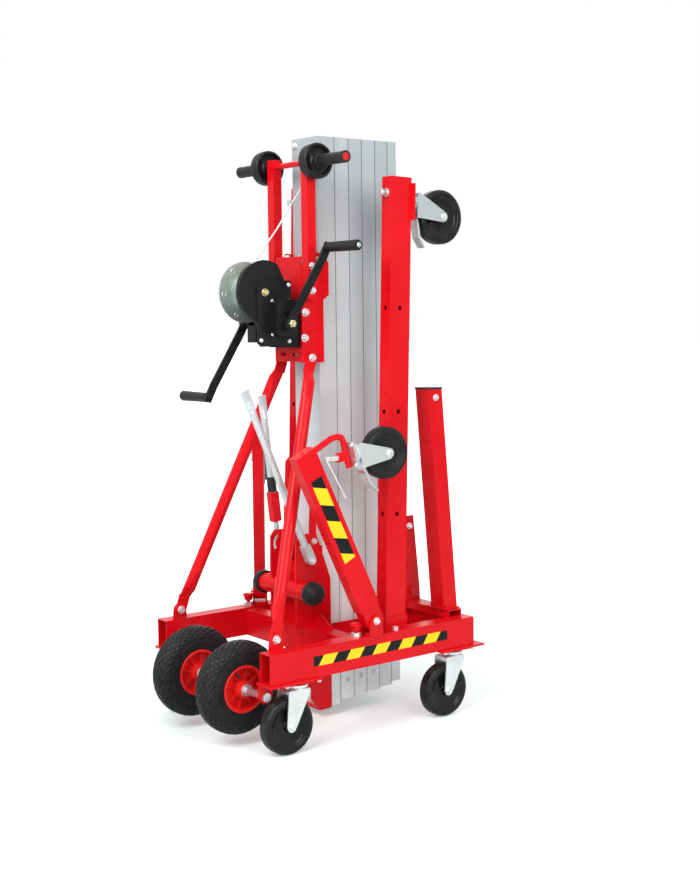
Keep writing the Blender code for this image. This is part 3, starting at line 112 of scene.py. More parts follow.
class Graph:
    """Short names for building a node tree."""

    def __init__(self, name):
        self.material = bpy.data.materials.new(name)
        self.material.use_nodes = True
        tree = self.material.node_tree
        self.nodes = tree.nodes
        self.links = tree.links
        self.shader = next(node for node in self.nodes if node.type == "BSDF_PRINCIPLED")
        self.place = self.nodes.new("ShaderNodeTexCoord").outputs["Object"]

    def link(self, source, target):
        self.links.new(source, target)

    def stretched(self, scale, offset):
        node = self.nodes.new("ShaderNodeMapping")
        node.inputs["Scale"].default_value = scale
        node.inputs["Location"].default_value = offset
        self.link(self.place, node.inputs["Vector"])
        return node.outputs["Vector"]

    def noise(self, scale, detail=3.0, rough=0.5, source=None):
        node = self.nodes.new("ShaderNodeTexNoise")
        node.inputs["Scale"].default_value = scale
        node.inputs["Detail"].default_value = detail
        node.inputs["Roughness"].default_value = rough
        self.link(source or self.place, node.inputs["Vector"])
        return node.outputs["Fac"]

    def cells(self, scale):
        node = self.nodes.new("ShaderNodeTexVoronoi")
        node.inputs["Scale"].default_value = scale
        self.link(self.place, node.inputs["Vector"])
        return node.outputs["Color"]

    def math(self, operation, first, second=None):
        node = self.nodes.new("ShaderNodeMath")
        node.operation = operation
        for socket, value in zip(node.inputs, (first, second)):
            if value is None:
                continue
            if isinstance(value, (int, float)):
                socket.default_value = value
            else:
                self.link(value, socket)
        return node.outputs[0]

    def span(self, value, low, high, to_low, to_high):
        node = self.nodes.new("ShaderNodeMapRange")
        node.inputs["From Min"].default_value = low
        node.inputs["From Max"].default_value = high
        node.inputs["To Min"].default_value = to_low
        node.inputs["To Max"].default_value = to_high
        self.link(value, node.inputs["Value"])
        return node.outputs["Result"]

    def mix(self, factor, first, second):
        node = self.nodes.new("ShaderNodeMix")
        node.data_type = "RGBA"
        self.link(factor, node.inputs["Factor"])
        for socket, value in ((node.inputs[6], first), (node.inputs[7], second)):
            if isinstance(value, tuple):
                socket.default_value = (*value, 1.0)
            else:
                self.link(value, socket)
        return node.outputs[2]

    def bump(self, height, strength, distance, rounding=0.0):
        node = self.nodes.new("ShaderNodeBump")
        node.inputs["Strength"].default_value = strength
        node.inputs["Distance"].default_value = distance
        self.link(height, node.inputs["Height"])
        if rounding:
            bevel = self.nodes.new("ShaderNodeBevel")
            bevel.samples = 4
            bevel.inputs["Radius"].default_value = rounding
            self.link(bevel.outputs["Normal"], node.inputs["Normal"])
        self.link(node.outputs["Normal"], self.shader.inputs["Normal"])

    def edge(self, radius, sharp):
        """1 near an outer or inner edge, 0 on a flat."""
        bevel = self.nodes.new("ShaderNodeBevel")
        bevel.samples = 4
        bevel.inputs["Radius"].default_value = radius
        geometry = self.nodes.new("ShaderNodeNewGeometry")
        dot = self.nodes.new("ShaderNodeVectorMath")
        dot.operation = "DOT_PRODUCT"
        self.link(bevel.outputs["Normal"], dot.inputs[0])
        self.link(geometry.outputs["Normal"], dot.inputs[1])
        return self.span(dot.outputs["Value"], 1.0, sharp, 0.0, 1.0)

    def parts(self, centre):
        """The place as three numbers, from a centre."""
        moved = self.nodes.new("ShaderNodeVectorMath")
        moved.operation = "SUBTRACT"
        moved.inputs[1].default_value = centre
        self.link(self.place, moved.inputs[0])
        split = self.nodes.new("ShaderNodeSeparateXYZ")
        self.link(moved.outputs["Vector"], split.inputs[0])
        return split.outputs

    def radius(self, centre):
        """Distance from a line along X through the centre."""
        _, y, z = self.parts(centre)
        return self.math("SQRT", self.math("ADD", self.math("MULTIPLY", y, y), self.math("MULTIPLY", z, z)))

    def set(self, **values):
        for name, value in values.items():
            self.shader.inputs[name.replace("_", " ")].default_value = value

    def color(self, source):
        self.link(source, self.shader.inputs["Base Color"])

    def rough(self, source):
        self.link(source, self.shader.inputs["Roughness"])


def powder_coat(name, light, dark, lit_worn_edge_tone):
    """Glossy powder coat: orange peel, slow drift of tone, dust film, and edges lightened both for thin
    paint and as a painted highlight.
    """
    graph = Graph(name)
    tone = graph.mix(graph.span(graph.noise(5.0, 4.0, 0.6), 0.35, 0.65, 0.0, 1.0), dark, light)
    # Painted highlight and wear: the colour goes lighter along edges, for paint thinned by use and for the
    # light that edges catch.
    lit_and_worn_edge = graph.math("MULTIPLY", graph.edge(0.0016, 0.80), graph.span(graph.noise(70.0, 5.0), 0.45, 0.70,
                                                                      0.1, 0.8))
    graph.color(graph.mix(lit_and_worn_edge, tone, lit_worn_edge_tone))
    film = graph.noise(16.0, 8.0, 0.62)
    graph.rough(graph.span(film, 0.30, 0.72, 0.24, 0.38))
    graph.bump(graph.noise(260.0, 2.0), 0.05, 0.0003, 0.0009)
    graph.set(Coat_Weight=0.05, Coat_Roughness=0.06, Specular_IOR_Level=0.16)
    return graph.material


def aluminium(name, tone, offset, front):
    """Mill-finish extrusion: die lines along Z, small nicks, a cloudy sheen, painted light that lightens it
    towards its foot, and a painted shade line in the gap to the next section."""
    graph = Graph(name)
    _, across, height = graph.parts((0.0, front, 0.0))
    # Painted shade: a near-black line in the gap to the next section.
    gap_shade = graph.span(across, -0.0021, -0.0010, 0.0, 0.90)
    lines = graph.noise(1.0, 4.0, 0.7, graph.stretched((520.0, 520.0, 1.6), (offset, 0.0, 0.0)))
    cloud = graph.noise(7.0, 4.0)
    nicks = graph.span(graph.noise(210.0, 6.0, 0.7), 0.66, 0.74, 0.0, 1.0)
    light = tuple(value * 1.05 for value in tone)
    dark = tuple(value * 0.93 for value in tone)
    drawn = graph.mix(graph.span(lines, 0.3, 0.7, 0.0, 1.0), dark, light)
    # Painted light: the tone is blended towards a bluish white near the foot, fading out by 1.55 m up.
    lit_towards_foot = graph.mix(graph.span(height, 0.15, 1.55, 0.80, 0.0), drawn, (0.90, 0.99, 1.0))
    clouded = graph.mix(graph.span(cloud, 0.35, 0.7, 0.0, 0.3), lit_towards_foot, tuple(value * 0.84 for value in tone))
    nicked = graph.mix(graph.math("MULTIPLY", nicks, 0.25), clouded, (0.36, 0.36, 0.37))
    graph.color(graph.mix(gap_shade, nicked, (0.055, 0.056, 0.060)))
    graph.rough(graph.math("ADD", graph.span(lines, 0.3, 0.7, 0.36, 0.50),
                           graph.span(cloud, 0.3, 0.7, 0.0, 0.08)))
    graph.bump(lines, 0.20, 0.00012, 0.0006)
    graph.set(Metallic=0.25, Specular_IOR_Level=0.4)
    return graph.material


def zinc(name, tone=(0.72, 0.73, 0.73), yellow=0.0, metal=0.85):
    """Zinc plate: fine spangle, drift of sheen and a dull bloom in places."""
    graph = Graph(name)
    spangle = graph.cells(150.0)
    bloom = graph.noise(22.0, 5.0, 0.55)
    dull = tuple(value * 0.88 for value in tone)
    warm = (tone[0], tone[1] * (1 - 0.12 * yellow), tone[2] * (1 - 0.5 * yellow))
    plated = graph.mix(graph.span(bloom, 0.4, 0.7, 0.0, 1.0), warm, dull)
    graph.color(graph.mix(graph.math("MULTIPLY", spangle, 0.05), plated,
                          tuple(min(1.0, value * 1.2) for value in warm)))
    graph.rough(graph.span(bloom, 0.3, 0.75, 0.24, 0.38))
    graph.bump(bloom, 0.05, 0.0002, 0.0005)
    graph.set(Metallic=metal)
    return graph.material


def satin_black(name):
    """Black stove enamel on a casting or a flat bar."""
    graph = Graph(name)
    drift = graph.noise(11.0, 4.0)
    coat = graph.mix(graph.span(drift, 0.35, 0.7, 0.0, 1.0), (0.0055, 0.0058, 0.0068),
                     (0.010, 0.0105, 0.012))
    # Painted highlight and wear: grey along the edges, for enamel thinned by use and for the light that
    # edges catch.
    lit_and_worn_edge = graph.math("MULTIPLY", graph.edge(0.0014, 0.80), graph.span(graph.noise(120.0, 4.0), 0.5, 0.75,
                                                                      0.15, 0.9))
    graph.color(graph.mix(lit_and_worn_edge, coat, (0.060, 0.061, 0.064)))
    graph.rough(graph.span(graph.noise(60.0, 6.0), 0.3, 0.7, 0.28, 0.42))
    graph.bump(graph.noise(480.0, 3.0), 0.18, 0.0002, 0.0012)
    graph.set(Specular_IOR_Level=0.20)
    return graph.material


def rubber(name, tone=0.010, grain=700.0, low=0.46, high=0.66):
    """Moulded rubber: a fine grain, scuffs and a grey bloom."""
    graph = Graph(name)
    bloom = graph.noise(24.0, 6.0, 0.6)
    dark = (tone, tone, tone * 1.05)
    grey = (tone * 2.0, tone * 2.0, tone * 2.05)
    scuff = graph.span(graph.noise(150.0, 7.0, 0.7), 0.62, 0.76, 0.0, 0.5)
    base = graph.mix(graph.span(bloom, 0.40, 0.72, 0.0, 1.0), dark, grey)
    graph.color(graph.mix(scuff, base, (tone * 3.2, tone * 3.2, tone * 3.2)))
    graph.rough(graph.span(bloom, 0.3, 0.7, low, high))
    graph.bump(graph.noise(grain, 3.0), 0.20, 0.00025, 0.0009)
    graph.set(Specular_IOR_Level=0.20)
    return graph.material


def rolling_wheel(name, centre, radius):
    """Solid black wheel: turned rings on the web, a duller running face with dust."""
    graph = Graph(name)
    away = graph.radius(centre)
    rings = graph.math("SINE", graph.math("MULTIPLY", away, 2200.0))
    face = graph.span(away, radius - 0.012, radius - 0.004, 0.0, 1.0)
    dust = graph.span(graph.noise(55.0, 7.0, 0.7), 0.40, 0.70, 0.0, 0.8)
    body = graph.mix(graph.span(graph.noise(18.0), 0.4, 0.7, 0.0, 1.0), (0.0055, 0.0055, 0.006),
                     (0.011, 0.011, 0.0115))
    graph.color(graph.mix(graph.math("MULTIPLY", face, dust), body, (0.034, 0.032, 0.030)))
    graph.rough(graph.math("ADD", graph.span(face, 0.0, 1.0, 0.20, 0.40),
                           graph.span(dust, 0.0, 1.0, 0.0, 0.08)))
    graph.set(Specular_IOR_Level=0.22)
    grain = graph.math("ADD", graph.math("MULTIPLY", rings, 0.25), graph.noise(500.0, 3.0))
    graph.bump(grain, 0.16, 0.0003, 0.0010)
    return graph.material


def tyre_and_hub(name, centre, split):
    """The CAD wheel is one solid: moulded red inside the bead, rubber outside it."""
    graph = Graph(name)
    away = graph.radius(centre)
    outside = graph.math("GREATER_THAN", away, split)
    red = graph.mix(graph.span(graph.noise(30.0), 0.4, 0.7, 0.0, 1.0), (0.80, 0.016, 0.012),
                    (0.66, 0.010, 0.010))
    bloom = graph.noise(26.0, 6.0, 0.65)
    black = graph.mix(graph.span(bloom, 0.4, 0.7, 0.0, 1.0), (0.0075, 0.0075, 0.008), (0.017, 0.017, 0.018))
    graph.color(graph.mix(outside, red, black))
    graph.set(Specular_IOR_Level=0.20)
    graph.rough(graph.math("ADD", graph.math("MULTIPLY", outside, 0.24),
                           graph.span(bloom, 0.3, 0.7, 0.28, 0.38)))
    ribs = graph.math("SINE", graph.math("MULTIPLY", away, 1500.0))
    grain = graph.math("ADD", graph.math("MULTIPLY", graph.math("MULTIPLY", ribs, outside), 0.4),
                       graph.noise(420.0, 3.0))
    graph.bump(grain, 0.16, 0.0003, 0.0012)
    return graph.material


def striped(name, across, along, start, first_yellow, pitch=STRIPE_PITCH):
    """Vinyl hazard tape: slanted yellow and black bars, a little dirty, slightly raised grain.
    across and along are directions in the row frame, start is where along is zero."""
    graph = Graph(name)
    offset = graph.nodes.new("ShaderNodeVectorMath")
    offset.operation = "SUBTRACT"
    offset.inputs[1].default_value = start
    graph.link(graph.place, offset.inputs[0])

    def measure(way):
        dot = graph.nodes.new("ShaderNodeVectorMath")
        dot.operation = "DOT_PRODUCT"
        dot.inputs[1].default_value = way
        graph.link(offset.outputs["Vector"], dot.inputs[0])
        return dot.outputs["Value"]

    run = graph.math("SUBTRACT", measure(along), graph.math("MULTIPLY", measure(across), STRIPE_SLANT))
    turn = graph.math("FRACT", graph.math("DIVIDE", graph.math("SUBTRACT", run, first_yellow - 10 * pitch),
                                          pitch))
    dark = graph.math("GREATER_THAN", turn, 0.52)
    dirt = graph.span(graph.noise(70.0, 7.0, 0.7), 0.52, 0.76, 0.0, 0.45)
    yellow = graph.mix(dirt, (0.92, 0.62, 0.012), (0.62, 0.42, 0.03))
    black = graph.mix(dirt, (0.004, 0.004, 0.005), (0.024, 0.023, 0.022))
    graph.color(graph.mix(dark, yellow, black))
    graph.rough(graph.span(dirt, 0.0, 0.45, 0.38, 0.5))
    graph.bump(graph.noise(900.0, 2.0), 0.10, 0.0001)
    graph.set(Specular_IOR_Level=0.22)
    return graph.material


RED_LIGHT = (0.70, 0.004, 0.010)
RED_DARK = (0.62, 0.002, 0.007)
# The third red is for edges: thin paint and painted highlight.
RED_LIT_WORN_EDGE = (0.80, 0.036, 0.034)

red = powder_coat("red powder coat", RED_LIGHT, RED_DARK, RED_LIT_WORN_EDGE)
black_enamel = satin_black("black enamel")
zinc_plate = zinc("zinc plate")
yellow_zinc = zinc("yellow zinc", (0.74, 0.66, 0.44), 0.6)
white_zinc = zinc("bright zinc", (0.82, 0.83, 0.83))
grey_zinc = zinc("dull zinc", (0.56, 0.61, 0.62))
green_zinc = zinc("passivated zinc", (0.46, 0.53, 0.49), 0.0, 0.7)
brace_zinc = zinc("brace tube zinc", (0.60, 0.63, 0.65), 0.0, 0.45)
black_rubber = rubber("black rubber")
grip_rubber = rubber("grip rubber", 0.012, 520.0, 0.36, 0.52)
red_cap = powder_coat("red plastic cap", (0.60, 0.020, 0.022), (0.50, 0.015, 0.018), (0.70, 0.06, 0.05))
SECTION_FRONTS = (0.420, 0.472, 0.522, 0.572, 0.620, 0.657)
SECTION_TONES = (0.46, 0.49, 0.45, 0.48, 0.46, 0.48)
mill = [aluminium("extrusion " + str(index), (tone * 0.96, tone * 1.05, tone * 1.09), 3.1 * index,
                  front + SHIFT_Y)
        for index, (tone, front) in enumerate(zip(SECTION_TONES, SECTION_FRONTS))]


def set_material(node, material):
    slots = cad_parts[node].data.materials
    slots.clear()
    slots.append(material)


def middle_of(node):
    """The middle of a node's box."""
    low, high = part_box(node)
    return (low + high) / 2


def dress_nodes():
    """Gives each CAD node its material."""
    for node in sorted(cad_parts):
        if node.startswith("mast_section_"):
            set_material(node, mill[int(node[-1]) - 1])
        elif node == "carriage_rail":
            set_material(node, mill[5])
        elif node.startswith("pneumatic_wheel"):
            set_material(node, tyre_and_hub("tyre of " + node, middle_of(node), 0.0665))
        elif node.startswith("loading_wheel"):
            set_material(node, rolling_wheel("web of " + node, middle_of(node), 0.051))
        elif node.startswith("outrigger_caster") and node.endswith("_wheel"):
            set_material(node, rubber("tread of " + node, 0.009, 600.0, 0.34, 0.52))
        elif node.endswith("_wheel"):
            set_material(node, rolling_wheel("web of " + node, middle_of(node), 0.080))
        elif node.startswith("leg_caster") and node.endswith("_fork"):
            set_material(node, grey_zinc)
        elif node.endswith("_fork"):
            set_material(node, white_zinc)
        elif node.startswith(("handle_grip", "crank_grip")):
            set_material(node, grip_rubber)
        elif node in ("winch_frame", "crank"):
            set_material(node, black_enamel)
        elif node == "winch_drum":
            set_material(node, green_zinc)
        elif node in ("wheel_axle", "winch_cable"):
            set_material(node, zinc_plate)
        elif node.startswith("outrigger_plunger"):
            set_material(node, white_zinc)
        elif node.startswith("brake_pedal"):
            set_material(node, zinc_plate)
        elif node.startswith("brace_"):
            set_material(node, brace_zinc)
        else:
            set_material(node, red)


dress_nodes()


# Pieces


def add_piece(name, shape, body, material, smooth=False):
    """Makes a piece of a bmesh, in the row frame, and lets it ride on a body."""
    mesh = bpy.data.meshes.new(name)
    bmesh.ops.recalc_face_normals(shape, faces=shape.faces)
    shape.to_mesh(mesh)
    shape.free()
    mesh.materials.append(material)
    if smooth:
        for face in mesh.polygons:
            face.use_smooth = True
    obj = bpy.data.objects.new(name, mesh)
    bpy.context.scene.collection.objects.link(obj)
    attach(obj, body)
    return obj


def aligned(at, way):
    """A matrix whose Z runs along way, at a point."""
    turn = Vector(way).to_track_quat("Z", "Y").to_matrix().to_4x4()
    return Matrix.Translation(at) @ turn


def add_lathe(shape, matrix, profile, segments):
    """Turns (radius, height) points about Z. The ends are closed with a fan when they reach the axis."""
    rings = []
    for radius, height in profile:
        if radius < 1e-6:
            rings.append([shape.verts.new(matrix @ Vector((0.0, 0.0, height)))])
            continue
        ring = []
        for index in range(segments):
            angle = 2 * math.pi * index / segments
            point = Vector((radius * math.cos(angle), radius * math.sin(angle), height))
            ring.append(shape.verts.new(matrix @ point))
        rings.append(ring)
    for first, second in zip(rings, rings[1:]):
        for index in range(segments):
            after = (index + 1) % segments
            if len(first) == 1 and len(second) == 1:
                continue
            if len(first) == 1:
                shape.faces.new((first[0], second[index], second[after]))
            elif len(second) == 1:
                shape.faces.new((first[index], first[after], second[0]))
            else:
                shape.faces.new((first[index], first[after], second[after], second[index]))
    return rings


def add_box(shape, matrix, low, high, bevel):
    """A box between two corners in the matrix's frame, with rounded edges."""
    made = bmesh.ops.create_cube(shape, size=1.0)
    size = Vector(high) - Vector(low)
    centre = (Vector(high) + Vector(low)) / 2
    for vertex in made["verts"]:
        vertex.co = Vector((vertex.co.x * size.x, vertex.co.y * size.y, vertex.co.z * size.z)) + centre
    edges = {edge for vertex in made["verts"] for edge in vertex.link_edges}
    result = bmesh.ops.bevel(shape, geom=list(edges), offset=bevel, segments=2, affect="EDGES", profile=0.6)
    points = {vertex for face in result["faces"] for vertex in face.verts}
    points |= {vertex for vertex in made["verts"] if vertex.is_valid}
    for vertex in points:
        vertex.co = matrix @ vertex.co


def add_hex_head(shape, at, way, height, radius, washer):
    """A washer, a hex head with its chamfer and a shallow dish in the middle."""
    matrix = aligned(at, way)
    if washer:
        add_lathe(shape, matrix, [
            (0.0, 0.0001), (radius * 1.28, 0.0001), (radius * 1.28, 0.0011), (radius * 1.20, 0.0016),
            (0.0, 0.0016)
        ], 24)
    wide = radius + 0.0005
    top = height + 0.0006
    rim = radius * 0.84
    add_lathe(shape, matrix, [(0.0, 0.0002), (wide, 0.0002), (wide, top - 0.0012)], 6)
    add_lathe(shape, matrix, [(rim * 0.97, 0.0008), (rim, top - 0.0014), (rim, top - 0.0003),
                              (rim - 0.0004, top),
                              (rim * 0.62, top), (rim * 0.55, top - 0.0004), (0.0, top - 0.0004)], 24)
    sides = add_lathe(shape, matrix, [(wide, top - 0.0012), (rim, top - 0.0002)], 6)
    shape.faces.new(sides[1])


def mirrored_bolts(x, y, z, height, radius):
    return [((SHIFT_X + side * x, SHIFT_Y + y, z), (side, 0.0, 0.0), height, radius) for side in (1, -1)]


def bolt_table():
    """The bolts of each body: foot, direction, height and radius of the head."""
    table = {"base": []}
    base = table["base"]
    for x, y, z, height, radius in (
        (0.0993, 0.307, 1.275, 0.008, 0.0085), (0.0993, 0.307, 1.345, 0.008, 0.0085),
        (0.0677, 0.323, 0.538, 0.007, 0.0075), (0.2588, 0.051, 0.319, 0.009, 0.0095),
        (0.0756, 0.321, 1.080, 0.008, 0.0095), (0.0693, 0.299, 1.138, 0.009, 0.0095),
        (0.0693, 0.302, 1.212, 0.009, 0.0095), (0.0693, 0.348, 1.362, 0.008, 0.0085)
    ):
        base += mirrored_bolts(x, y, z, height, radius)
    for side in (1, -1):
        base.append((row(side * 0.2465, 0.051, 0.319), (-side, 0.0, 0.0), 0.008, 0.0095))
        base.append((row(side * 0.2895, 0.449, 0.290), (0.0, 0.0, 1.0), 0.012, 0.009))
        for x in (0.2460, 0.3070):
            for y in (0.051, 0.159, 0.626, 0.734):
                base.append((row(side * x, y, 0.199), (0.0, 0.0, -1.0), 0.006, 0.0065))
    table["carriage"] = mirrored_bolts(0.081, 0.680, 0.548, 0.008, 0.008)
    for side, word in SIDES:
        table["brace_" + word] = [(row(side * 0.092, BRACE_Y, BRACE_Z), (side, 0.0, 0.0), 0.006, 0.008)]
        swing = 0.0 if side > 0 else FAR_SWING
        way = Vector((math.cos(swing), math.sin(swing), 0.0))
        pivot = row(side * PIVOT_X, PIVOT_Y, PIVOT_Z)
        table["outrigger_bracket_" + word] = [
            (pivot + way * 0.0228, way, 0.007, 0.0085), (pivot - way * 0.0228, -way, 0.007, 0.0085)
        ]
        for end, y in (("rear", 0.068), ("front", 0.643)):
            table[end + "_caster_" + word + "_fork"] = [
                (row(side * BEAM_MID_X + sign * CASTER_FORK_HALF, y, 0.080), (sign, 0.0, 0.0), 0.006, 0.0085)
                for sign in (1, -1)
            ]
        table["leg_caster_" + word + "_fork"] = [
            (row(side * LEG_X + sign * CASTER_FORK_HALF, 0.67747, 1.48783), (sign, 0.0, 0.0), 0.006, 0.0085)
            for sign in (1, -1)
        ]
    table["outrigger_caster_right_fork"] = [
        ((0.3874, 0.08324, 0.81081), (-1.0, 0.0, 0.0), 0.006, 0.0085),
        ((0.4424, 0.08324, 0.81081), (1.0, 0.0, 0.0), 0.006, 0.0085)
    ]
    table["outrigger_caster_left_fork"] = [
        ((-0.39624, 0.1737, 0.72485), (-0.5878, -0.809, 0.0), 0.006, 0.0085),
        ((-0.36391, 0.2182, 0.72485), (0.5878, 0.809, 0.0), 0.006, 0.0085)
    ]
    return table


def add_bolts():
    """One piece of bolt heads for each body."""
    for body, bolts in bolt_table().items():
        shape = bmesh.new()
        for at, way, height, radius in bolts:
            add_hex_head(shape, Vector(at), way, height, radius, way[2] == 0.0)
        add_piece("bolts_" + body, shape, body, white_zinc)


def add_winch_hardware():
    """Screws of the gear case and the gold head of its shaft's bolt."""
    shape = bmesh.new()
    for y, z in ((0.250, 1.292), (0.250, 1.130), (0.152, 1.134)):
        add_hex_head(shape, row(0.061, y, z), (1.0, 0.0, 0.0), 0.004, 0.005, True)
    for y, z in ((0.192, 1.150), (0.192, 1.246), (0.250, 1.246), (0.250, 1.152)):
        add_hex_head(shape, row(0.061, y, z), (1.0, 0.0, 0.0), 0.003, 0.004, True)
    add_piece("gear_case_screws", shape, "base", white_zinc)
    shape = bmesh.new()
    add_hex_head(shape, row(0.061, 0.167, 1.270), (1.0, 0.0, 0.0), 0.010, 0.0085, True)
    add_piece("gear_shaft_bolt", shape, "base", yellow_zinc)


def add_tape(name, body, material, corner, across, along, width, length, out):
    """A thin strip of tape lying on a face, its edges rounded off."""
    shape = bmesh.new()
    across = Vector(across)
    along = Vector(along)
    out = Vector(out)
    thick = 0.0004
    inset = 0.0003
    low = [corner + out * 0.00002 + across * u + along * v
           for u, v in ((0.0, 0.0), (width, 0.0), (width, length), (0.0, length))]
    high = [corner + out * thick + across * u + along * v
            for u, v in ((inset, inset), (width - inset, inset), (width - inset, length - inset),
                         (inset, length - inset))]
    bottom = [shape.verts.new(point) for point in low]
    top = [shape.verts.new(point) for point in high]
    shape.faces.new(bottom)
    shape.faces.new(top)
    for index in range(4):
        after = (index + 1) % 4
        shape.faces.new((bottom[index], bottom[after], top[after], top[index]))
    add_piece(name, shape, body, material)


def add_tapes():
    for side, word in SIDES:
        corner = row(side * BEAM_OUTER_X, 0.145, 0.236)
        across = (0.0, 0.0, 1.0)
        along = (0.0, 1.0, 0.0)
        look = striped("beam tape " + word, across, along, corner, 0.017)
        add_tape("beam_tape_" + word, "base", look, corner, across, along, 0.028, 0.494, (side, 0.0, 0.0))
        lean = ARM_LEAN if side > 0 else FAR_LEAN
        swing = 0.0 if side > 0 else FAR_SWING
        stand = Matrix.Translation(row(side * PIVOT_X, PIVOT_Y, PIVOT_Z)) @ Matrix.Rotation(swing, 4, "Z")
        place = stand @ Matrix.Rotation(lean, 4, "X")
        turn = place.to_3x3()
        across = turn @ Vector((0.0, 1.0, 0.0))
        along = turn @ Vector((0.0, 0.0, 1.0))
        out = turn @ Vector((side, 0.0, 0.0))
        corner = place @ Vector((side * ARM_HALF_X, -0.020, 0.206))
        start = place @ Vector((side * ARM_HALF_X, 0.0, 0.0))
        look = striped("arm tape " + word, -across, along, start, 0.279, 0.107)
        add_tape("arm_tape_" + word, "outrigger_arm_" + word, look, corner, across, along, 0.040, 0.264, out)


def tread_depth(turn, across):
    """0 in a groove, 1 on a block: two crossing families of diagonal grooves."""
    blocks = 30
    slant = 1.6
    depth = 1.0
    for sign in (1, -1):
        phase = blocks * (turn + sign * slant * across / (2 * math.pi * WHEEL_RADIUS))
        edge = abs(phase - round(phase))
        depth = min(depth, max(0.0, min(1.0, (edge - 0.050) / 0.06)))
    return depth


def tyre_point(side, across, radius, angle):
    """A place on a pneumatic tyre: how far across it, how far out and how far round."""
    return row(side * WHEEL_X + across, WHEEL_Y + radius * math.cos(angle),
               WHEEL_Z + radius * math.sin(angle))


def add_tread(side, word):
    """The tyre's block tread, a shell that lies on the CAD tyre from shoulder to shoulder."""
    outline = [(0.1005, 0.0352), (0.1085, 0.0332), (0.1160, 0.0300), (0.1215, 0.0245), (0.1265, 0.0185),
               (0.1297, 0.0125), (0.1303, 0.0060), (0.1304, 0.0)]
    outline += [(radius, -across) for radius, across in reversed(outline[:-1])]
    fine = []
    for (r0, a0), (r1, a1) in zip(outline, outline[1:]):
        for step in range(4):
            share = step / 4
            fine.append((r0 + (r1 - r0) * share, a0 + (a1 - a0) * share))
    fine.append(outline[-1])
    segments = 480
    lengths = [0.0]
    for (r0, a0), (r1, a1) in zip(fine, fine[1:]):
        lengths.append(lengths[-1] + math.hypot(r1 - r0, a1 - a0))
    half = lengths[-1] / 2
    shape = bmesh.new()
    rings = []
    for index in range(segments):
        turn = index / segments
        angle = 2 * math.pi * turn
        ring = []
        for point, ((radius, across), run) in enumerate(zip(fine, lengths)):
            near_end = min(run, lengths[-1] - run)
            fade = max(0.0, min(1.0, near_end / 0.004))
            depth = tread_depth(turn, run - half) * fade
            before = fine[max(0, point - 1)]
            after = fine[min(len(fine) - 1, point + 1)]
            tangent = Vector((after[0] - before[0], after[1] - before[1])).normalized()
            normal = Vector((-tangent.y, tangent.x))
            if normal.x * (radius - 0.09) + normal.y * across < 0:
                normal = -normal
            lift = -0.0008 + 0.0036 * depth
            r = radius + normal.x * lift
            a = across + normal.y * lift
            ring.append(shape.verts.new(tyre_point(side, a, r, angle)))
        rings.append(ring)
    for index in range(segments):
        first = rings[index]
        second = rings[(index + 1) % segments]
        for point in range(len(fine) - 1):
            shape.faces.new((first[point], first[point + 1], second[point + 1], second[point]))
    inner = []
    for radius, across in (fine[-1], fine[0]):
        ring = []
        for index in range(segments):
            angle = 2 * math.pi * index / segments
            r = radius - 0.004
            a = across * 0.9
            ring.append(shape.verts.new(tyre_point(side, a, r, angle)))
        inner.append(ring)
    for index in range(segments):
        after = (index + 1) % segments
        shape.faces.new((rings[index][-1], rings[after][-1], inner[0][after], inner[0][index]))
        shape.faces.new((rings[index][0], rings[after][0], inner[1][after], inner[1][index]))
        shape.faces.new((inner[0][index], inner[0][after], inner[1][after], inner[1][index]))
    add_piece("tread_" + word, shape, "pneumatic_wheel_" + word, tread_rubber, True)


tread_rubber = rubber("tread rubber", 0.010, 380.0, 0.30, 0.50)


